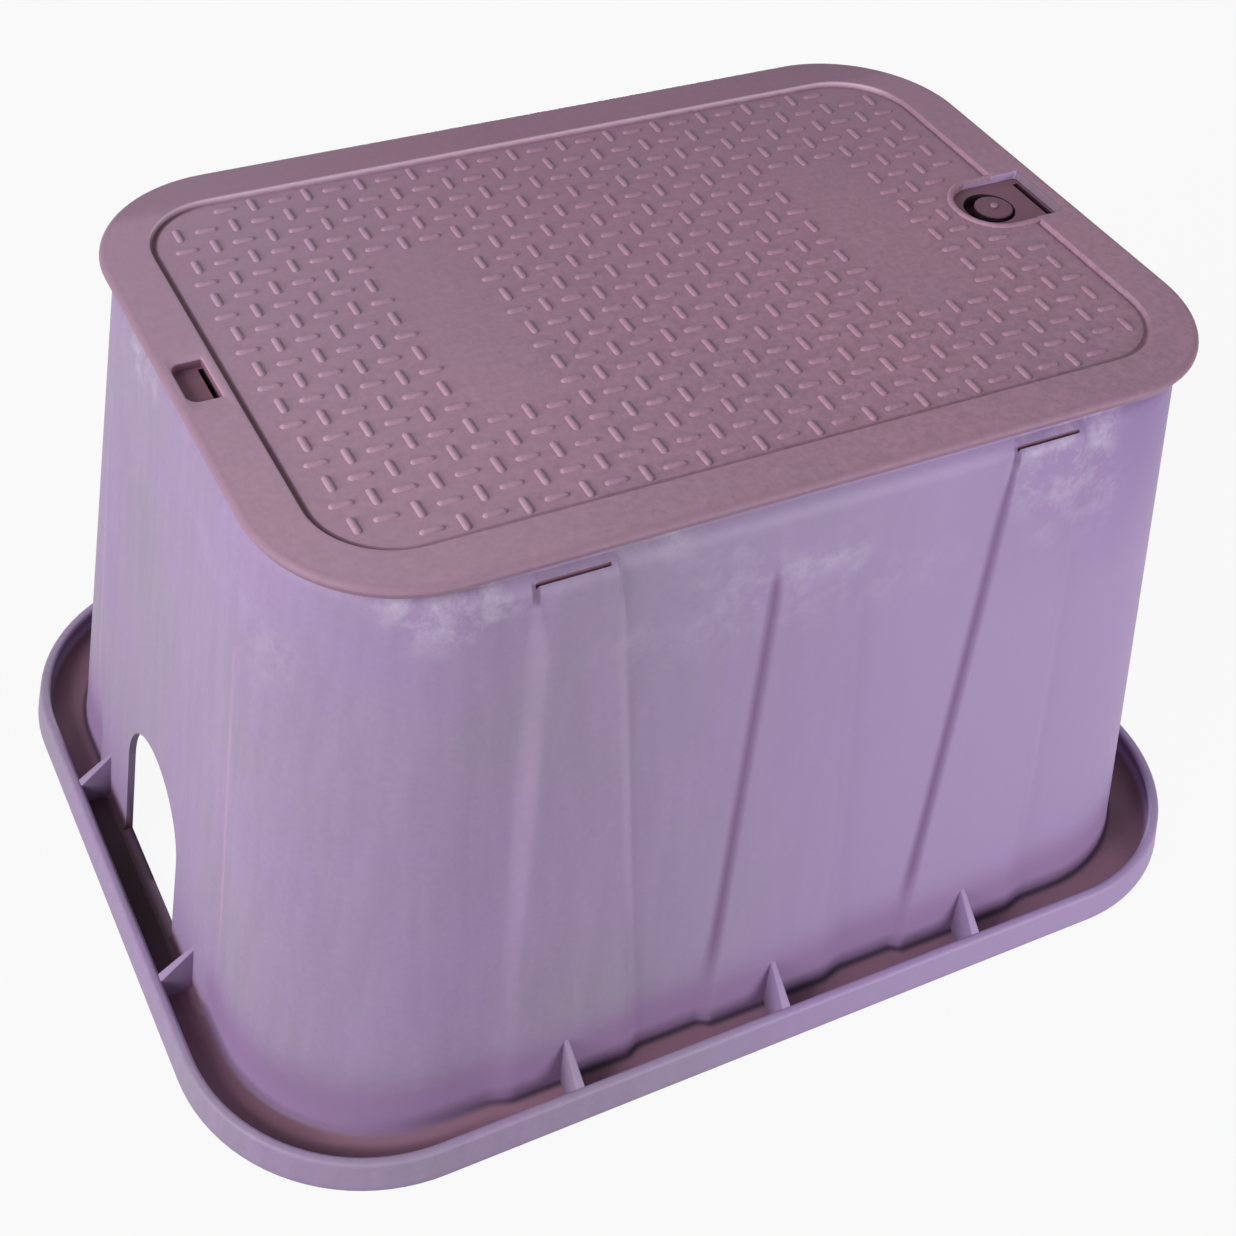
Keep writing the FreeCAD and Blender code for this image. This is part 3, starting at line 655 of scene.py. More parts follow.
# %% [markdown]
# ## Lock recess and pry slot
# A D-shaped recess at one end holds a round well with a knock-out disc and a slit for a locking
# tongue. At the other end is a small slot for a pry bar, with a slit too. The plate is too thin to hold
# them, so the well and both slits first get sleeves underneath. Then the pockets are cut out. A Bevel
# modifier would round their mouths and the slits' edges alike, so each pocket's cutting solid flares
# where it leaves the plate, which rounds the mouth alone.

# %% Cut the pockets
LOCK_END = COVER[0] / 2 - 8.5
LOCK_LENGTH = 46.0
LOCK_TIP = LOCK_END - LOCK_LENGTH
LOCK_CORNER = 2.0
LOCK_RADIUS = 18.5
LOCK_FLOOR = COVER_TOP - 4.0
LOCK_SLIT_X = LOCK_END - 3.4
LOCK_SLIT_HALF = 1.5
LOCK_SLIT_REACH = 14.0
WELL_X = LOCK_TIP + LOCK_RADIUS - 1.0
WELL_RADIUS = 12.5
WELL_FLOOR = COVER_TOP - 10.0
WELL_WALL = 2.6
PRY_LEFT = -COVER[0] / 2 + 5.0
PRY_RIGHT = PRY_LEFT + 14.0
PRY_HALF = 13.5
PRY_CORNER = 5.0
PRY_INNER_CORNER = 0.8
PRY_FLOOR = COVER_TOP - 4.4
PRY_SLIT = 2.4
PRY_SLIT_X = PRY_RIGHT - PRY_SLIT / 2
PRY_SLIT_REACH = PRY_HALF - 1.4
SLEEVE_LOW = COVER_SEAT - 14.5
SLEEVE_WALL = 1.3
# A cutting solid starts this far before the face that it cuts.
BEFORE = 1.0
SLIT_LOW = COVER_SEAT - SKIRT_DEPTH - BEFORE


def lock_outline(grow):
    """The recess's D: a half circle at its inner end and square corners at its outer end."""
    angle = np.linspace(np.pi / 2, 3 * np.pi / 2, 41)
    radius = LOCK_RADIUS + grow
    nose = np.stack([LOCK_TIP + LOCK_RADIUS + radius * np.cos(angle), radius * np.sin(angle)], axis=1)
    bend = np.radians(np.linspace(-90, 0, 7))[:, None]
    small = LOCK_CORNER + grow
    low = np.hstack([LOCK_END + grow - small + small * np.cos(bend), -radius + small + small * np.sin(bend)])
    high = low[::-1] * np.array([1.0, -1.0])
    return np.concatenate([nose, low, high])


def pry_outline(grow):
    """The pry slot: two round corners at its outer side, two sharper ones inside."""
    parts = []
    corners = [(PRY_RIGHT, PRY_HALF, 0, PRY_INNER_CORNER), (PRY_LEFT, PRY_HALF, 90, PRY_CORNER),
               (PRY_LEFT, -PRY_HALF, 180, PRY_CORNER), (PRY_RIGHT, -PRY_HALF, 270, PRY_INNER_CORNER)]
    for x, y, start, radius in corners:
        angle = np.radians(np.linspace(start, start + 90, 8))
        side_x, side_y = np.sign(x - (PRY_LEFT + PRY_RIGHT) / 2), np.sign(y)
        parts.append(np.stack([x - side_x * radius + (radius + grow) * np.cos(angle),
                               y - side_y * radius + (radius + grow) * np.sin(angle)], axis=1))
    return np.concatenate(parts)


def circle(x, radius, steps=48, y=0.0):
    """A circle about a point near the box's long axis."""
    angle = np.linspace(0, 2 * np.pi, steps, endpoint=False)
    return np.stack([x + radius * np.cos(angle), y + radius * np.sin(angle)], axis=1)


def pocket(outline_at, floor, flare):
    """A pocket's cutting solid: straight up from its floor, and flared at its mouth."""
    levels = [(floor, 0.0), (COVER_TOP - flare, 0.0), (COVER_TOP - flare / 3, flare / 3),
              (COVER_TOP, flare), (COVER_TOP + BEFORE, 2.5 * flare)]
    return capped_stack(np.stack([at_height(outline_at(grow), z) for z, grow in levels]))


def slit_solids(grow, low, lock_top, pry_top):
    """Upright slabs for the lock's slit and the pry slot's, or for a sleeve round each."""
    sizes = ((LOCK_SLIT_X, LOCK_SLIT_HALF, LOCK_SLIT_REACH + grow, lock_top),
             (PRY_SLIT_X, PRY_SLIT / 2, PRY_HALF if grow else PRY_SLIT_REACH, pry_top))
    return [extruded(rectangle(x, 0.0, half + grow, reach), low, top, "z") for x, half, reach, top in sizes]


under_plate = COVER_SEAT + BEFORE
well_sleeve = extruded(circle(WELL_X, WELL_RADIUS + WELL_WALL), WELL_FLOOR - WELL_WALL, under_plate, "z")
carve(cover_plate, [well_sleeve], "UNION")
carve(cover_plate, slit_solids(SLEEVE_WALL, SLEEVE_LOW, under_plate, under_plate), "UNION")
carve(cover_plate, [pocket(lock_outline, LOCK_FLOOR, 0.9), pocket(pry_outline, PRY_FLOOR, 0.8)])
well = extruded(circle(WELL_X, WELL_RADIUS), WELL_FLOOR, LOCK_FLOOR + BEFORE, "z")
carve(cover_plate, [well] + slit_solids(0.0, SLIT_LOW, LOCK_FLOOR + BEFORE, PRY_FLOOR + BEFORE))
print("cover plate faces after cutting:", len(cover_plate.data.polygons))

# %% [markdown]
# ## Rim and disc
# The lock recess has a rounded rim that stands up from the sunk panel. In its well is the disc that is
# knocked out to fit a lock: a low round boss with a softened edge, and a small bright nub on its
# middle. A torus or a cylinder would need as much reshaping, so the rim is one bead carried round the
# D, and the disc is a profile turned about its own axis.

# %% Lock rim, disc and nub
RIM_WIDTH = 3.0
RIM_TOP = COVER_TOP - 0.15
RIM_RISE = 1.3
RIM_GAP = 0.1
RIM_SUNK = 0.3
DISC_X = WELL_X + 3.4
DISC_Y = 0.9
DISC_RADIUS = 9.3
DISC_TOP = WELL_FLOOR + 5.7
DISC_SOFT = 0.8
NUB_RADIUS = 1.9
NUB_HEIGHT = 1.2
NUB_SOFT = 0.7
BUTTON_STEPS = 40


def lock_rim():
    """A bead round the recess: its section is half an ellipse on two straight feet."""
    angle = np.radians(np.linspace(180, 0, 9))
    middle = RIM_GAP + RIM_WIDTH / 2
    foot = LOCK_FLOOR + RIM_SUNK
    out = np.concatenate([[RIM_GAP], middle + RIM_WIDTH / 2 * np.cos(angle), [RIM_GAP + RIM_WIDTH]])
    levels = np.concatenate([[foot], RIM_TOP - RIM_RISE + RIM_RISE * np.sin(angle), [foot]])
    rings = np.stack([at_height(lock_outline(grow), level) for grow, level in zip(out, levels)])
    return rings.reshape(-1, 3), grid_faces(*rings.shape[:2], closed_rows=True)


def button(x, radius, low, high, soft):
    """A round boss: a profile of radius and height turned about the upright axis at x."""
    bend = np.radians(np.linspace(0, 90, 5))
    radii = np.concatenate([[radius], radius - soft + soft * np.cos(bend)])
    levels = np.concatenate([[low], high - soft + soft * np.sin(bend)])
    rings = [at_height(circle(x, r, BUTTON_STEPS, DISC_Y), z) for r, z in zip(radii, levels)]
    return capped_stack(np.stack(rings))


rim = recalculated(make_piece("lock_rim", *lock_rim()))
disc = recalculated(make_piece("knock_out_disc", *joined([
    button(DISC_X, DISC_RADIUS, WELL_FLOOR - RIM_SUNK, DISC_TOP, DISC_SOFT),
    button(DISC_X, NUB_RADIUS, DISC_TOP - RIM_SUNK, DISC_TOP + NUB_HEIGHT, NUB_SOFT),
])))
print("rim faces:", len(rim.data.polygons))

# %% [markdown]
# ## The tread
# The raised tread is a basket weave: short bars, alternately along and across, on a square grid. Two
# rectangular fields of the panel stay bare. A bump pattern would look flat from a low angle, so each
# bar is a mesh: one small shape of a few dozen faces, which is copied to every place at once.

# %% Tread bars
TREAD_PITCH = 13.0
BAR_LENGTH = 10.6
BAR_WIDTH = 3.3
BARE_FIELDS = ((-91.0, 19.5), (117.0, 19.5))
BARE_REACH = 58.5
BAR_ROOM = 0.5
BAR_SHARP_DEGREES = 50.0
# Each pair is how far the bar's outline has drawn in, and its height above the panel.
BAR_SECTION = ((0.0, -0.15), (0.2, 0.4), (0.6, 0.85), (1.1, 1.1), (1.55, 1.2))


def one_bar():
    """A long low dome: a stadium outline that draws in as it rises."""
    angle = np.radians(np.linspace(-90, 90, 6))
    rings = []
    for draw, height in BAR_SECTION:
        radius = BAR_WIDTH / 2 - draw
        centre = BAR_LENGTH / 2 - BAR_WIDTH / 2 - 0.6 * draw
        end = np.stack([centre + radius * np.cos(angle), radius * np.sin(angle)], axis=1)
        rings.append(at_height(np.concatenate([end, -end]), PANEL_FLOOR + height))
    return capped_stack(np.stack(rings))


def bar_places():
    """Centre and direction of each bar of the weave that stays clear of the edge and the fields."""
    half_x = PANEL[0] / 2 - GROOVE_WIDTH
    half_y = PANEL[1] / 2 - GROOVE_WIDTH
    corner = PANEL[2] - GROOVE_WIDTH
    reach = BAR_LENGTH / 2 + BAR_ROOM
    columns = int((half_x - reach) // TREAD_PITCH)
    lines = int((half_y - reach) // TREAD_PITCH)
    i, j = np.meshgrid(np.arange(-columns, columns + 1), np.arange(-lines, lines + 1), indexing="ij")
    x, y = i * TREAD_PITCH, j * TREAD_PITCH
    upright = (i + j) % 2 == 0
    keep = np.ones(x.shape, dtype=bool)
    for centre, half in BARE_FIELDS:
        keep &= ~((np.abs(x - centre) < half) & (np.abs(y) < BARE_REACH))
    ahead = x - (LOCK_TIP + LOCK_RADIUS)
    keep &= np.where(ahead > 0, np.abs(y), np.hypot(ahead, y)) > LOCK_RADIUS + RIM_WIDTH + reach
    over_x = np.abs(x) + np.where(upright, BAR_WIDTH, BAR_LENGTH) / 2 + BAR_ROOM - (half_x - corner)
    over_y = np.abs(y) + np.where(upright, BAR_LENGTH, BAR_WIDTH) / 2 + BAR_ROOM - (half_y - corner)
    keep &= ~((over_x > 0) & (over_y > 0) & (np.hypot(over_x, over_y) > corner))
    return x[keep], y[keep], upright[keep]


def tread():
    """Every bar at once: the shape is turned a quarter where a bar lies across, then moved."""
    shape, faces = one_bar()
    x, y, upright = bar_places()
    turned = shape[:, [1, 0, 2]] * np.array([-1.0, 1.0, 1.0])
    points = np.where(upright[:, None, None], turned[None], shape[None])
    points = points + np.stack([x, y, 0.0 * x], axis=1)[:, None, :]
    offsets = range(0, len(x) * len(shape), len(shape))
    return points.reshape(-1, 3), [[index + offset for index in face] for offset in offsets for face in faces]


tread_bars = make_piece("tread_bars", *tread(), sharp_degrees=BAR_SHARP_DEGREES)
print("tread bars:", len(bar_places()[0]), "faces:", len(tread_bars.data.polygons))

# %% [markdown]
# ## Ribs under the cover
# Only seen when the cover is lifted: a grid of ribs that keeps the plate stiff under a foot. The
# photograph doesn't show the underside, so this is what such covers have. Cutting pockets out of a
# block would give the same grid. Crossing slabs are simpler, and each one ends inside the skirt, so
# its length follows the skirt's rounded corners.

# %% Ribs
RIB_THICKNESS = 3.4
RIB_DEPTH = 14.0
RIB_SPACING = 44.0
RIB_RAISED = 0.2


def rib_reach(offset, along, across, corner):
    """Half the length of a rib: the skirt's half size less what its corner's circle takes away."""
    over = np.maximum(np.abs(offset) + RIB_THICKNESS / 2 - (across - corner), 0.0)
    return along - corner + np.sqrt(corner ** 2 - over ** 2)


def ribs():
    """Slabs on the grid's lines, each as long as the skirt allows there."""
    half_x, half_y, corner, _ = rounded(SHOULDER, np.array([SKIRT_OUT - SKIRT_THICKNESS / 2]), 0.0)[0]
    low, high = COVER_SEAT - RIB_DEPTH, COVER_SEAT + RIB_RAISED
    half = RIB_THICKNESS / 2
    parts = []
    for x in RIB_SPACING * np.arange(-4, 5):
        parts.append(extruded(rectangle(x, 0.0, half, rib_reach(x, half_y, half_x, corner)), low, high, "z"))
    for y in RIB_SPACING * np.arange(-2, 3):
        parts.append(extruded(rectangle(0.0, y, rib_reach(y, half_x, half_y, corner), half), low, high, "z"))
    return joined(parts)


rib_grid = recalculated(make_piece("rib_grid", *ribs()))
well_room = extruded(circle(WELL_X, WELL_RADIUS + WELL_WALL / 2), SLIT_LOW, COVER_TOP, "z")
carve(rib_grid, slit_solids(0.0, SLIT_LOW, COVER_TOP, COVER_TOP) + [well_room])
print("rib grid faces:", len(rib_grid.data.polygons))

# %% [markdown]
# ## Colours and nodes
# Colours are written as they look on a screen and turned to the linear values that light needs. A
# material is a network of nodes. It could be drawn by hand in the shader editor, but written down it
# reads from top to bottom: one function adds a node with its settings and links, and hands back one of
# its outputs for the next node.


# %% Colour and node helpers
def linear(code):
    """A hex colour as linear red, green, blue and alpha: each channel is undone by the sRGB curve."""
    values = [int(code[start:start + 2], 16) / 255 for start in (0, 2, 4)]
    return tuple(v / 12.92 if v <= 0.04045 else ((v + 0.055) / 1.055) ** 2.4 for v in values) + (1.0,)


def add_node(tree, kind, inputs=(), output=0, **settings):
    """Add a node with its settings and inputs, and hand back one of its outputs.

    The inputs are a list in the order of the sockets, or a dictionary by a socket's name or number.
    Each is a value to set, or another node's output to link.
    """
    node = tree.nodes.new("ShaderNode" + kind)
    for name, value in settings.items():
        setattr(node, name, value)
    for socket, value in inputs.items() if isinstance(inputs, dict) else enumerate(inputs):
        if isinstance(value, bpy.types.NodeSocket):
            tree.links.new(value, node.inputs[socket])
        else:
            node.inputs[socket].default_value = value
    return node.outputs[output] if len(node.outputs) else node


def new_tree(owner):
    """Give a material or a world an empty network of nodes."""
    owner.use_nodes = True
    owner.node_tree.nodes.clear()
    return owner.node_tree


def per_metre(millimetres):
    """A noise scale whose features are about so many millimetres across."""
    return 1.0 / (millimetres * MM)


print("middle grey as light: %.3f" % linear("808080")[0])

# %% [markdown]
# ## Moulded polyethylene
# Both pieces are structural-foam polyethylene: resin with a blowing agent, pressed into a steel mould.
# Its skin is matt and waxy with a fine grain. The colour could come from a picture wrapped round the
# box, but that would carry the picture's light with it. Noise in three sizes gives the same look from
# every side: clouds over broad areas, upright streaks where the resin flowed, and fine mottling.
# The box is lavender and the cover mauve, so one recipe makes both from their own colours.

# %% The plastic's recipe
CLOUD = 110.0
MOTTLE = 3.2
STREAK_WIDTH = 7.0
STREAK_LENGTH = 150.0
STREAK_CONTRAST = 0.04
GRAIN = 1.1
GRAIN_HEIGHT = 0.15
GRAIN_STRENGTH = 0.35
PLASTIC_IOR = 1.5
PLASTIC_SPECULAR = 0.22
# A Mix node for colours has its share in socket 0, its colours in 6 and 7, and its result in output 2.
SHARE, FIRST, SECOND, MIXED = 0, 6, 7, 2


def plastic_colour(tree, place, body, warm, cool, mottling):
    """Clouds of two more colours over the body's, times streaks along z and fine mottling."""
    cloud = add_node(tree, "TexNoise", {"Vector": place, "Scale": per_metre(CLOUD), "Detail": 3.0,
                                        "Roughness": 0.55, "Distortion": 0.4})
    colour = linear(body)
    for full, other in ((0.68, warm), (0.32, cool)):
        share = add_node(tree, "MapRange", [cloud, 0.5, full])
        colour = add_node(tree, "Mix", {SHARE: share, FIRST: colour, SECOND: linear(other)}, MIXED,
                          data_type="RGBA")
    upright = add_node(tree, "Mapping", {"Vector": place,
                                         "Scale": (1.0, 1.0, STREAK_WIDTH / STREAK_LENGTH)})
    streaks = add_node(tree, "TexNoise", {"Vector": upright, "Scale": per_metre(STREAK_WIDTH)})
    speckle = add_node(tree, "TexNoise", {"Vector": place, "Scale": per_metre(MOTTLE), "Detail": 3.0,
                                          "Roughness": 0.6})
    for pattern, contrast in ((streaks, STREAK_CONTRAST), (speckle, mottling)):
        factor = add_node(tree, "MapRange", [pattern, 0.3, 0.7, 1.0 - contrast, 1.0 + contrast])
        colour = add_node(tree, "Mix", {SHARE: 1.0, FIRST: colour, SECOND: factor}, MIXED,
                          data_type="RGBA", blend_type="MULTIPLY")
    return colour


def plastic_surface(tree, place, colour, roughness):
    """A broad soft sheen on a fine grain, whose height is a noise."""
    grain = add_node(tree, "TexNoise", {"Vector": place, "Scale": per_metre(GRAIN)})
    normal = add_node(tree, "Bump", {"Height": grain, "Strength": GRAIN_STRENGTH,
                                     "Distance": GRAIN_HEIGHT * MM})
    surface = add_node(tree, "BsdfPrincipled", {
        "Base Color": colour, "Roughness": roughness, "IOR": PLASTIC_IOR,
        "Specular IOR Level": PLASTIC_SPECULAR, "Normal": normal})
    add_node(tree, "OutputMaterial", {"Surface": surface})


def plain_plastic(name, body, warm, cool, mottling, roughness):
    """A material of the recipe alone."""
    material = bpy.data.materials.new(name)
    tree = new_tree(material)
    place = add_node(tree, "TexCoord", output="Object")
    plastic_surface(tree, place, plastic_colour(tree, place, body, warm, cool, mottling), roughness)
    return material


def laid_over(tree, colour, name, strength, over):
    """Lay a colour over another where the piece's attribute of that name is high."""
    share = add_node(tree, "Attribute", output="Fac", attribute_name=name)
    share = add_node(tree, "MapRange", [share, 0.0, 1.0, 0.0, strength])
    return add_node(tree, "Mix", {SHARE: share, FIRST: colour, SECOND: over}, MIXED, data_type="RGBA")


# A darker mauve as painted shade in the recesses, on the disc's top and in the vents, so the recesses look
# deeper than they are.
recess_mauve = plain_plastic("unworn mauve polyethylene in the recesses", "7A5668", "7E5A68", "745467",
                             0.04, 0.6)
# Near-black painted shade in the well, in the slits and on the disc's side.
near_black_shade = plain_plastic("near-black painted shade in the well and slits", "2C1B27", "32202B", "271823", 0.15, 0.8)
# Painted light on the lock recess's long back wall, which looks paler and bluer.
back_wall_light = plain_plastic("pale bloom on mauve polyethylene", "A893BA", "AB94BA", "A494B8", 0.04, 0.55)
# Painted shade on the lock recess's end wall, which faces away from the light.
end_wall_shade = plain_plastic("mauve polyethylene with painted shade at the recess's end", "816D7F", "857082", "7D6A7B", 0.04, 0.6)
print("plain plastics:", len(bpy.data.materials))

# %% [markdown]
# ## Dust and painted shade and highlights on the box
# Dust lies in the channel. Painted shadow darkens the channel's ends and its floor near the front-left
# corner, painted shade darkens the wall near its foot and turns nearly black in the crevice there and at
# the vents' left ends, painted shade lies along the left edges of two flutes, and painted highlights lie
# on the edges of the left flute. All this could be painted by hand. Here each kind is a share that is
# worked out for every point of the mesh from its distance to the lip, the wall and the flutes, so it
# fits the shape. It is kept as an attribute, which the material reads.

# %% Shares of dust and painted shade and highlights on the box
# Each pair says where a share is 0 and where it is 1, in millimetres.
PAST_LIP = (5.0, 8.0)
DUST_HEIGHT = (18.0, 4.0)
DUST_FROM_WALL = (0.4, 2.6)
WEB_DUST = 0.35
# Painted shadow of the lip in the channel: at its ends, and on its floor near the front-left corner.
CHANNEL_SHADOW_ALONG = (212.0, 234.0)
CHANNEL_SHADOW_ACROSS = (68.0, 62.0)
CHANNEL_SHADOW_LEAST = 0.35
LEFT_FLOOR_FROM_WALL = (5.0, 10.0)
LEFT_FLOOR_ALONG = (-120.0, -190.0)
LEFT_FLOOR_SHADOW = 0.6
# Painted shade low on the wall and on the webs.
SHADE_FROM_WALL = (3.0, 0.0)
SHADE_HEIGHT = (52.0, 14.0)
# Near-black painted shade in the crevice at the wall's foot.
CREVICE_GAP = (3.4, 0.7)
CREVICE_ALONG = (-185.0, -125.0)
CREVICE_LEAST = 0.3
LONG_SIDE_SHARE = 0.3


def read_places(elements, name):
    """The place of every point or face in millimetres, as x, y and z."""
    places = np.empty(len(elements) * 3)
    elements.foreach_get(name, places)
    return places.reshape(-1, 3).T / MM


def keep_shares(piece, shares):
    """Store each share as an attribute of the mesh's points, and say how high each one reaches."""
    for name, values in shares.items():
        attribute = piece.data.attributes.new(name, "FLOAT", "POINT")
        attribute.data.foreach_set("value", np.asarray(values, dtype=float))
    return {name: round(float(values.max()), 2) for name, values in shares.items()}


def wall_at(z):
    """Half length, half width and corner of the wall's outline at each height."""
    return wall_rows(0.0 * z, np.clip(z, 0.0, SHOULDER_LEVEL)).T[:3]


def outside_by(x, y, half_x, half_y, corner):
    """Distance outside a rounded rectangle: to its corner's circle, or straight to its side."""
    over_x = np.abs(x) - (half_x - corner)
    over_y = np.abs(y) - (half_y - corner)
    round_part = np.hypot(np.maximum(over_x, 0.0), np.maximum(over_y, 0.0))
    return round_part + np.minimum(np.maximum(over_x, over_y), 0.0) - corner


def channel_shares(x, y, z, is_web):
    """Dust in the channel, painted shadow at the channel's ends, painted shade low on the wall, and
    near-black painted shade at the wall's foot.
    """
    across = seen_across(x, y)
    half_x, half_y, corner = wall_at(z)
    on_long_side = np.abs(y) > half_y - corner * LONG_SIDE_SHARE
    relief = np.where(on_long_side, flute_relief(across, z), 0.0)
    from_wall = np.maximum(outside_by(x, y, half_x, half_y, corner) - relief, 0.0)
    inside_edge = -outside_by(x, y, FLANGE[0] / 2, FLANGE[1] / 2, FLANGE[2])
    in_channel = rise(inside_edge, *PAST_LIP)
    on_floor = in_channel * rise(z, *DUST_HEIGHT)
    dust = on_floor * rise(from_wall, *DUST_FROM_WALL) * (WEB_DUST if is_web else 1.0)
    channel_shadow = dust * rise(np.abs(x), *CHANNEL_SHADOW_ALONG)
    channel_shadow *= CHANNEL_SHADOW_LEAST + (1.0 - CHANNEL_SHADOW_LEAST) * rise(np.abs(y), *CHANNEL_SHADOW_ACROSS)
    left_floor = rise(from_wall, *LEFT_FLOOR_FROM_WALL) * rise(across, *LEFT_FLOOR_ALONG)
    channel_shadow = np.maximum(channel_shadow, LEFT_FLOOR_SHADOW * on_floor * left_floor)
    near_wall = 1.0 if is_web else rise(from_wall, *SHADE_FROM_WALL)
    shade = in_channel * near_wall * rise(z, *SHADE_HEIGHT)
    gap = np.hypot(from_wall, np.maximum(z - FLANGE_FLOOR, 0.0))
    crevice = in_channel * rise(gap, *CREVICE_GAP)
    crevice *= CREVICE_LEAST + (1.0 - CREVICE_LEAST) * rise(across, *CREVICE_ALONG)
    return {"dust": dust, "channel_shadow": channel_shadow, "shade": shade, "crevice": crevice}


print("dust 10 mm up, in the channel's middle:",
      channel_shares(np.zeros(1), np.full(1, -195.0), np.full(1, 10.0), False)["dust"].round(2))

# %% Shares along the flutes' edges
SKIN_WITHIN = 5.0
LONG_SIDE_WITHIN = 6.0
# Near-black painted shade at the vents' left ends.
VENT_END_HEIGHT = (284.0, 289.0)
VENT_END_REACH = 1.7
VENT_END_SHADES = (0.6, 0.0, 0.4)
# Painted highlights along the left flute's edges.
EDGE_HIGHLIGHT_LOW = (70.0, 150.0)
EDGE_HIGHLIGHT_HIGH = (282.0, 270.0)
EDGE_HIGHLIGHT_LEFT = 0.4
EDGE_HIGHLIGHT_RIGHT = 0.5
EDGE_HIGHLIGHT_LEFT_REACH = 1.6
EDGE_HIGHLIGHT_RIGHT_REACH = 1.4
# Painted shade along the left edges of the middle and right flutes.
LEE_LOW = (20.0, 60.0)
LEE_HEAD = 14.0
LEE_PAST_HEAD = 2.0
LEE_ASIDE = 0.3
LEE_REACH = 1.5


def edge_shares(x, y, z):
    """Painted shade at the vents' left ends and along two flutes' left edges, and painted highlights on the
    first flute's edges.

    Distances from an edge are counted in half widths of its slope.
    """
    across = seen_across(x, y)
    half_x, half_y, corner = wall_at(z)
    on_wall = np.abs(outside_by(x, y, half_x, half_y, corner)) < SKIN_WITHIN
    on_wall &= np.abs(y) > half_y - LONG_SIDE_WITHIN
    vent_end = rise(z, *VENT_END_HEIGHT) * (z < SHOULDER_LEVEL) * on_wall
    half_way = rise(z, *EDGE_HIGHLIGHT_LOW) * rise(z, *EDGE_HIGHLIGHT_HIGH) * on_wall
    vent_ends, lee, edge_highlight = np.zeros((3, len(z)))
    for flute, vent_shade in zip(FLUTES, VENT_END_SHADES):
        (left, left_ramp), (right, right_ramp) = flute_edges(flute, z)
        beside_end = np.clip(VENT_END_REACH - np.abs(across - left), 0.0, 1.0)
        vent_ends = np.maximum(vent_ends, vent_shade * vent_end * beside_end)
        from_left = (across - left) / left_ramp
        from_right = (across - right) / right_ramp
        if flute == FLUTES[0]:
            at_left = smooth_step(EDGE_HIGHLIGHT_LEFT_REACH - np.abs(from_left))
            at_right = smooth_step(EDGE_HIGHLIGHT_RIGHT_REACH - np.abs(from_right))
            edge_highlight = half_way * np.maximum(EDGE_HIGHLIGHT_LEFT * at_left, EDGE_HIGHLIGHT_RIGHT * at_right)
        else:
            head = MIDDLE_HEAD + LEE_PAST_HEAD if flute == 0 else SHOULDER_LEVEL
            behind = np.clip(1.0 - np.abs(from_left + LEE_ASIDE) / LEE_REACH, 0.0, 1.0) * on_wall
            lee = np.maximum(lee, behind * rise(z, head, head - LEE_HEAD) * rise(z, *LEE_LOW))
    return vent_ends, lee, edge_highlight


def box_shares(piece, is_web=False):
    """Every share for each point of the box or of its webs."""
    x, y, z = read_places(piece.data.vertices, "co")
    shares = channel_shares(x, y, z, is_web)
    vent_ends, shares["lee"], shares["edge_highlight"] = edge_shares(x, y, z)
    shares["crevice"] = np.maximum(shares["crevice"], vent_ends)
    return shares


print("most of each on the box:", keep_shares(box_shell, box_shares(box_shell)))
print("most of each on the webs:", keep_shares(gussets, box_shares(gussets, is_web=True)))

# %% [markdown]
# ## The box's plastic
# The recipe in lavender comes first. Painted light makes its colour lighter and purer purple towards the
# right end, and painted shade darkens the wall high up at the right, under the cover. Silvery scuffs
# run along the top of the walls, where the box was handled. A faint pink line climbs each end wall
# beside the slot. Drawn on a flat picture these marks would bend at the corners, so nodes work them out
# from the place on the box. The layers of dust and painted light and shade come last, so that dust lies
# over scuffs and the crevice's painted shade over dust.

# %% The box's material
LAVENDER = ("8F7D9A", "917C9F", "8C7F94")
# Painted light: lighter, purer purple towards the right end.
PURER_PURPLE = "9A84AD"
PURER_ALONG = (-115.0, 60.0)
# Painted shade: darker high on the wall at the right, under the cover.
HIGH_RIGHT_PURPLE = "846C9A"
HIGH_RIGHT_HEIGHT = (205.0, 285.0)
HIGH_RIGHT_ALONG = (60.0, 170.0)
BROAD_DRIFT = 0.8
SCUFF = 13.0
SCUFF_PATCH = 60.0
SCUFF_HEIGHT = (225.0, 285.0)
SCUFF_SILVER = "C4BACB"
CREASE_FOOT = 97.0
CREASE_LEAN = 0.055
CREASE_HALF = 1.3
CREASE_PINK = "B58FA6"
CREASE_STRENGTH = 0.3
END_WALL_FROM = (214.0, 220.0)
CREASE_LOW = (40.0, 90.0)
CREASE_HIGH = (250.0, 190.0)
# The painted shade's colour low on the wall: the first at its foot, the second higher up.
FOOT_HEIGHT = (9.0, 28.0)
FOOT_COLOURS = ("91759D", "84668F")
# Painted highlights on the left flute's edges; painted shade in the flutes' lee, low on the wall, in the
# channel's shadow and in the crevice; dust in the channel.
BOX_LAYERS = (("edge_highlight", 0.3, "C3ABC4"), ("lee", 0.75, "684A70"), ("shade", 0.85, None),
              ("dust", 0.9, "8C6676"), ("channel_shadow", 0.9, "36202F"), ("crevice", 0.95, "281523"))


def metres(pair):
    """Two places in metres, for a node that reads the object's own coordinates."""
    return [value * MM for value in pair]


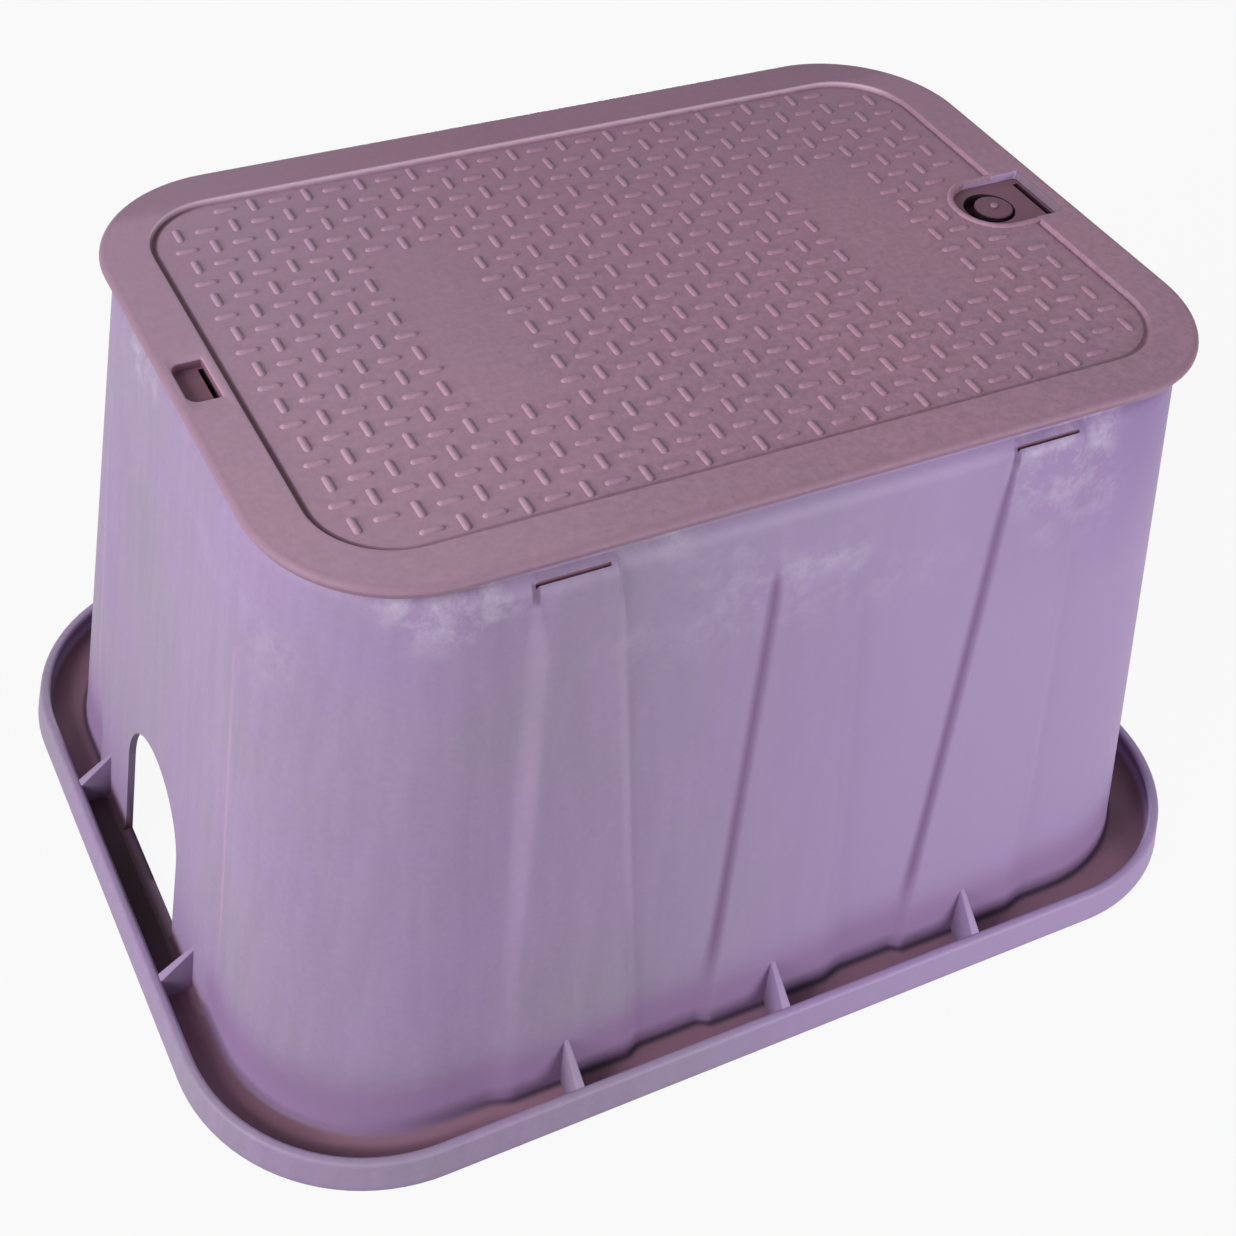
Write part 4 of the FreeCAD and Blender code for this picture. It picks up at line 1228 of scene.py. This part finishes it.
def scuffed(tree, place, height):
    """Where scuffs show: fine marks within broad patches, near the top."""
    marks = add_node(tree, "TexNoise", {"Vector": place, "Scale": per_metre(SCUFF), "Detail": 6.0,
                                        "Roughness": 0.7})
    patches = add_node(tree, "TexNoise", {"Vector": place, "Scale": per_metre(SCUFF_PATCH), "Detail": 1.0})
    share = add_node(tree, "MapRange", [marks, 0.45, 0.7, 0.0, 0.5])
    patch_share = add_node(tree, "MapRange", [patches, 0.46, 0.62])
    near_top = add_node(tree, "MapRange", [height, *metres(SCUFF_HEIGHT)])
    for mask in (near_top, patch_share):
        share = add_node(tree, "Math", [share, mask], operation="MULTIPLY")
    return share


def creased(tree, along, across, height):
    """Where the faint pink line shows: |y| plus a lean times z is within a hair of its foot's place."""
    lean = add_node(tree, "Math", [height, CREASE_LEAN], operation="MULTIPLY")
    aside = add_node(tree, "Math", [across], operation="ABSOLUTE")
    aside = add_node(tree, "Math", [aside, lean], operation="ADD")
    share = add_node(tree, "Math", [aside, CREASE_FOOT * MM, CREASE_HALF * MM], operation="COMPARE")
    end_wall = add_node(tree, "Math", [along], operation="ABSOLUTE")
    for socket, pair in ((end_wall, END_WALL_FROM), (height, CREASE_LOW), (height, CREASE_HIGH)):
        mask = add_node(tree, "MapRange", [socket, *metres(pair)])
        share = add_node(tree, "Math", [share, mask], operation="MULTIPLY")
    return add_node(tree, "MapRange", [share, 0.0, 1.0, 0.0, CREASE_STRENGTH])


def box_polyethylene():
    """The recipe in lavender, then painted light and shade, scuffs, a faint pink line, and the layers of dust
    and painted light and shade.
    """
    material = bpy.data.materials.new("lavender structural-foam polyethylene")
    tree = new_tree(material)
    place = add_node(tree, "TexCoord", output="Object")
    along, across, height = add_node(tree, "SeparateXYZ", [place]).node.outputs
    colour = plastic_colour(tree, place, *LAVENDER, 0.03)
    purer = add_node(tree, "MapRange", [along, *metres(PURER_ALONG), 0.0, BROAD_DRIFT])
    high = add_node(tree, "MapRange", [height, *metres(HIGH_RIGHT_HEIGHT)])
    right = add_node(tree, "MapRange", [along, *metres(HIGH_RIGHT_ALONG), 0.0, BROAD_DRIFT])
    high_right = add_node(tree, "Math", [high, right], operation="MULTIPLY")
    for share, over in ((purer, PURER_PURPLE), (high_right, HIGH_RIGHT_PURPLE),
                        (scuffed(tree, place, height), SCUFF_SILVER),
                        (creased(tree, along, across, height), CREASE_PINK)):
        colour = add_node(tree, "Mix", {SHARE: share, FIRST: colour, SECOND: linear(over)}, MIXED,
                          data_type="RGBA")
    low_colour, high_colour = [linear(code) for code in FOOT_COLOURS]
    from_low = add_node(tree, "MapRange", [height, *metres(FOOT_HEIGHT)])
    foot = add_node(tree, "Mix", {SHARE: from_low, FIRST: low_colour, SECOND: high_colour}, MIXED,
                    data_type="RGBA")
    for name, strength, over in BOX_LAYERS:
        colour = laid_over(tree, colour, name, strength, linear(over) if over else foot)
    plastic_surface(tree, place, colour, 0.52)
    return material


# Weathered polyethylene scatters light just under its skin: the walls look chalky, with a broad sheen.
lavender = box_polyethylene()
print("nodes in the box's material:", len(lavender.node_tree.nodes))

# %% [markdown]
# ## Painted light and shade and plastic of the cover
# Painted shade darkens the cover's outer edge and the panel's groove on two sides, a painted highlight
# lies on the step at the panel's back, and the border is painted a little lighter along some sides and
# darker at the back. These are shares as well. The colour drifts with them: duller towards the back, as
# painted shade, and greyer towards the left end.

# %% Shares of painted light and shade on the cover
# Painted shade on the cover's rounded outer edge.
RIM_EDGE = (3.6, 0.6)
# Each of these two says between which distances outside the panel's outline it lies.
GROOVE_BAND = (-3.0, 0.3)
STEP_BAND = (-0.7, 0.6)
BORDER_FROM = 0.2
BELOW_TOP = 0.2
NEAR_TOP = 0.5
# Painted shade in the groove: strongest at the left end, weaker at the front, none at the back.
GROOVE_LEFT = (-150.0, -190.0)
GROOVE_FRONT = (-95.0, -120.0)
# The back, where the panel's step gets a painted highlight.
GROOVE_BACK = (100.0, 115.0)
FRONT_GROOVE_SHADE = 0.45
BACK_GROOVE_UNSHADED = 0.8
# The border's painted light along the right, front and left, and painted shade at the back.
BORDER_BACK = (118.0, 128.0)
BORDER_LEFT = (-180.0, -190.0)
BORDER_RIGHT = (185.0, 195.0)
BORDER_FRONT = (-112.0, -122.0)
RIGHT_LIGHT = 0.85
FRONT_LIGHT = 0.4


def cover_shares(piece):
    """Painted shade on its outer edge and in the groove, a painted highlight on the back step, and the
    border's painted lighter and darker sides.
    """
    x, y, z = read_places(piece.data.vertices, "co")
    from_edge = -outside_by(x, y, COVER[0] / 2, COVER[1] / 2, COVER[2])
    from_panel = outside_by(x, y, PANEL[0] / 2, PANEL[1] / 2, PANEL[2])
    in_groove, on_step = [(from_panel > low) & (from_panel < high) for low, high in (GROOVE_BAND, STEP_BAND)]
    in_groove &= (z < COVER_TOP - BELOW_TOP) & (z > COVER_SEAT)
    on_step &= z > PANEL_FLOOR
    on_border = (from_panel > BORDER_FROM) & (z > COVER_TOP - NEAR_TOP)
    back = rise(y, *GROOVE_BACK)
    groove_shaded = np.maximum(rise(x, *GROOVE_LEFT), FRONT_GROOVE_SHADE * rise(y, *GROOVE_FRONT))
    groove_shaded = np.clip(groove_shaded - BACK_GROOVE_UNSHADED * back * (x > GROOVE_LEFT[0]), 0.0, 1.0)
    far = rise(y, *BORDER_BACK)
    lighter = np.maximum(RIGHT_LIGHT * rise(x, *BORDER_RIGHT), FRONT_LIGHT * rise(y, *BORDER_FRONT))
    lighter = np.maximum(lighter, rise(x, *BORDER_LEFT))
    return {"edge": rise(from_edge, *RIM_EDGE), "groove": in_groove * groove_shaded, "pale": on_step * back,
            "light": on_border * lighter * (1.0 - far), "dark": on_border * far}


print("most of each on the cover:", keep_shares(cover_plate, cover_shares(cover_plate)))

# %% The cover's material
MAUVE = ("A27D92", "A67E93", "9C7C90")
# Painted shade: darker towards the back.
BACK_ACROSS = (-60.0, 150.0)
BACK_MAUVE = "98758D"
BACK_DRIFT = 0.7
GREY_ALONG = (-20.0, -160.0)
GREY_MAUVE = "A68FA3"
GREY_DRIFT = 0.4
# Painted light on the border's sides, painted shade at its back, on the outer edge and in the groove, and a
# painted highlight on the back step.
COVER_LAYERS = (("light", 0.1, "C49CB6"), ("dark", 0.3, "745468"), ("edge", 0.6, "7C5F72"),
                ("groove", 0.7, "5E3A48"), ("pale", 0.85, "CAAEC2"))


def cover_polyethylene():
    """The recipe in mauve, then two drifts of colour, the one towards the back painted shade, and the layers
    of painted light and shade.
    """
    material = bpy.data.materials.new("mauve structural-foam polyethylene")
    tree = new_tree(material)
    place = add_node(tree, "TexCoord", output="Object")
    along, across, _ = add_node(tree, "SeparateXYZ", [place]).node.outputs
    colour = plastic_colour(tree, place, *MAUVE, 0.12)
    to_back = add_node(tree, "MapRange", [across, *metres(BACK_ACROSS), 0.0, BACK_DRIFT])
    to_grey = add_node(tree, "MapRange", [along, *metres(GREY_ALONG), 0.0, GREY_DRIFT])
    for share, over in ((to_back, BACK_MAUVE), (to_grey, GREY_MAUVE)):
        colour = add_node(tree, "Mix", {SHARE: share, FIRST: colour, SECOND: linear(over)}, MIXED,
                          data_type="RGBA")
    for name, strength, over in COVER_LAYERS:
        colour = laid_over(tree, colour, name, strength, linear(over))
    plastic_surface(tree, place, colour, 0.55)
    return material


# The same resin, walked on: the cover looks redder and more mottled, and no glint is sharp.
mauve = cover_polyethylene()
print("nodes in the cover's material:", len(mauve.node_tree.nodes))

# %% [markdown]
# ## Giving the pieces their materials
# A piece may hold several materials, and every face says which of them it shows. The faces inside the
# recesses, the well, the slits and the vents are found by their place, because the cuts made them anew.
# They could be picked by hand in edit mode, but a rule by place still works when a size changes.

# %% Materials of the pieces
HAIR_ROOM = 0.05
EDGE_ROOM = 0.1
MOUTH_ROOM = 0.5
SIDE_ROOM = 1.5
DISC_SIDE = 0.7
VENT_HIGH = 292.9


def wear(piece, *materials):
    """Give a piece its materials."""
    piece.data.materials.clear()
    for material in materials:
        piece.data.materials.append(material)


def mark_faces(piece, *masks):
    """Give each mask's faces the piece's next material, and say how many there are."""
    index = np.zeros(len(piece.data.polygons), dtype=np.int32)
    for number, mask in enumerate(masks):
        index[mask] = number + 1
    piece.data.polygons.foreach_set("material_index", index)
    return [int(mask.sum()) for mask in masks]


def in_box(x, y, middle_x, half_x, half_y):
    """True where a point lies within a rectangle on the long axis."""
    return (np.abs(x - middle_x) < half_x) & (np.abs(y) < half_y)


# The vents get the darker recess mauve as painted shade.
wear(box_shell, lavender, recess_mauve)
wear(gussets, lavender)
for piece in (rim, tread_bars, rib_grid):
    wear(piece, mauve)
wear(cover_plate, mauve, recess_mauve, near_black_shade, back_wall_light, end_wall_shade)
# The disc's side gets near-black painted shade and its top the darker recess mauve as painted shade; its nub
# keeps the plain mauve.
wear(disc, recess_mauve, near_black_shade, mauve)
x, y, z = read_places(disc.data.polygons, "center")
print("disc faces marked:", mark_faces(disc, z < DISC_TOP - DISC_SIDE, z > DISC_TOP + EDGE_ROOM))
x, y, z = read_places(box_shell.data.polygons, "center")
from_vent = np.abs(np.abs(y) - SHOULDER[1] / 2 - VENT_OUT)
along_vent = np.abs(np.abs(x - VENT_ASIDE * np.sign(y)) - FLUTE_SPACING)
in_vent = (from_vent < VENT_GAP / 2 + HAIR_ROOM) & (along_vent < VENT_HALF + HAIR_ROOM)
in_vent &= (z > VENT_LOW - EDGE_ROOM) & (z < VENT_HIGH)
print("box faces marked:", mark_faces(box_shell, in_vent))

# %% Faces in the cover's recesses
x, y, z = read_places(cover_plate.data.polygons, "center")
lock_middle = (LOCK_TIP + LOCK_END) / 2
lock_half = (LOCK_END - LOCK_TIP) / 2
in_lock = in_box(x, y, lock_middle, lock_half + MOUTH_ROOM, LOCK_RADIUS + MOUTH_ROOM)
in_lock &= z < LOCK_FLOOR + EDGE_ROOM
pry_middle = (PRY_LEFT + PRY_RIGHT) / 2
pry_half = (PRY_RIGHT - PRY_LEFT) / 2
in_pry = in_box(x, y, pry_middle, pry_half + MOUTH_ROOM, PRY_HALF + MOUTH_ROOM)
in_pry &= z < COVER_TOP - BEFORE
in_well = (np.hypot(x - WELL_X, y) < WELL_RADIUS + 2 * EDGE_ROOM) & (z < LOCK_FLOOR - MOUTH_ROOM)
in_slit = in_box(x, y, LOCK_SLIT_X, LOCK_SLIT_HALF + EDGE_ROOM, LOCK_SLIT_REACH + EDGE_ROOM)
in_slit &= z < LOCK_FLOOR - 2 * EDGE_ROOM
in_pry_slit = in_box(x, y, PRY_SLIT_X, PRY_SLIT / 2 + EDGE_ROOM, PRY_HALF)
in_slit |= in_pry_slit & (z < PRY_FLOOR - 2 * EDGE_ROOM)
above = z > WELL_FLOOR - EDGE_ROOM
lock_wall = (z > LOCK_FLOOR + EDGE_ROOM) & (z < COVER_TOP - EDGE_ROOM)
lock_wall &= (x > LOCK_TIP - BEFORE) & (x < LOCK_END + SIDE_ROOM)
end_wall = lock_wall & (x > LOCK_END - MOUTH_ROOM) & (np.abs(y) < LOCK_RADIUS)
back_wall = lock_wall & (y > LOCK_RADIUS - MOUTH_ROOM) & (y < LOCK_RADIUS + SIDE_ROOM)
# Painted shade in the recesses, near-black painted shade in the well and slits, painted light on the lock
# recess's back wall and painted shade on its end wall.
print("cover faces marked:", mark_faces(cover_plate, (in_lock | in_pry) & above,
                                        (in_well & above) | in_slit, back_wall, end_wall))

# %% [markdown]
# ## Riding and standing in
# Each new piece is tied to the body that it moves with, so that the cover's pieces lift with the
# cover. The plain measured solids are hidden, because these pieces stand in for them.

# %% Tie the pieces to the bodies
box_pieces = (box_shell, gussets)
cover_pieces = (cover_plate, rim, disc, tread_bars, rib_grid)
for piece in box_pieces:
    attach(piece, "box")
for piece in cover_pieces:
    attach(piece, "cover")
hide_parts("box_body")
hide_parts("cover")
print("pieces tied:", len(box_pieces) + len(cover_pieces))

# %% [markdown]
# ## Floor and world
# The photograph has a white ground. More light would bleach the box with it, so the floor and the world
# show white only to the camera and to glossy rays, and the light that they give the object is much
# weaker. A small share of the floor stays an ordinary pale surface, which keeps the box's soft shadow.

# %% Floor and world
FLOOR_HALF = 30000.0
FLOOR_GREY = "89898B"
WHITE = linear("FFFFFF")
WHITE_SHARE = 0.93
WHITE_STRENGTH = 1.0
AMBIENT = 0.30


def seen_directly(tree):
    """1 for camera, glossy and transmission rays, 0 for the light that surfaces receive."""
    rays = add_node(tree, "LightPath").node.outputs
    direct = rays["Is Camera Ray"]
    for name in ("Is Glossy Ray", "Is Transmission Ray"):
        direct = add_node(tree, "Math", [direct, rays[name]], operation="MAXIMUM")
    return direct


def pale_ground():
    """Mostly white to the camera, and a plain pale surface for the light."""
    material = bpy.data.materials.new("pale ground")
    tree = new_tree(material)
    white = add_node(tree, "Emission", [WHITE, WHITE_STRENGTH])
    matt = add_node(tree, "BsdfDiffuse", [linear(FLOOR_GREY)])
    share = add_node(tree, "Math", [seen_directly(tree), WHITE_SHARE], operation="MULTIPLY")
    add_node(tree, "OutputMaterial", [add_node(tree, "MixShader", [share, matt, white])])
    return material


def white_room():
    """A white world to the camera, and a weak soft light for surfaces."""
    world = bpy.data.worlds.new("white room")
    tree = new_tree(world)
    soft, bright = [add_node(tree, "Background", [WHITE, strength]) for strength in (AMBIENT, WHITE_STRENGTH)]
    add_node(tree, "OutputWorld", [add_node(tree, "MixShader", [seen_directly(tree), soft, bright])])
    return world


corners = np.array([[-1, -1, 0], [1, -1, 0], [1, 1, 0], [-1, 1, 0]]) * FLOOR_HALF
ground = make_piece("ground", corners, [[0, 1, 2, 3]])
wear(ground, pale_ground())
bpy.context.scene.world = white_room()
print("ambient light:", AMBIENT)

# %% [markdown]
# ## Lamps
# A picture of a studio could light the box, but lamps can be matched one at a time, and the brightness
# round the walls in the photograph says where its own were. The left end is the brightest wall and the
# cover is evenly lit, so a large key lamp stands off that end, well above the box. The front grows
# brighter to the right and downwards, so a smaller lamp stands low near that corner. A third one, lower
# still, lights the back without reaching the cover's top.

# %% Lamps
MIDDLE_OF_BOX = (0.0, 0.0, 0.16)
# Each lamp's place and width are in metres, and its power is in watts.
LAMPS = {"key": ((-1.5, -0.26, 0.88), 0.9, 29.0),
         "front": ((0.5, -1.02, 0.33), 0.5, 8.0),
         "back": ((0.6, 1.35, 0.17), 0.32, 15.0)}


def add_lamp(name, place, width, power):
    """A square lamp that faces the middle of the box."""
    data = bpy.data.lights.new(name, "AREA")
    data.size = width
    data.energy = power
    lamp = bpy.data.objects.new(name, data)
    lamp.location = place
    lamp.rotation_mode = "QUATERNION"
    lamp.rotation_quaternion = (Vector(MIDDLE_OF_BOX) - Vector(place)).to_track_quat("-Z", "Y")
    bpy.context.collection.objects.link(lamp)


for lamp_name, settings in LAMPS.items():
    add_lamp(lamp_name, *settings)
print("lamps:", len(bpy.data.lights))
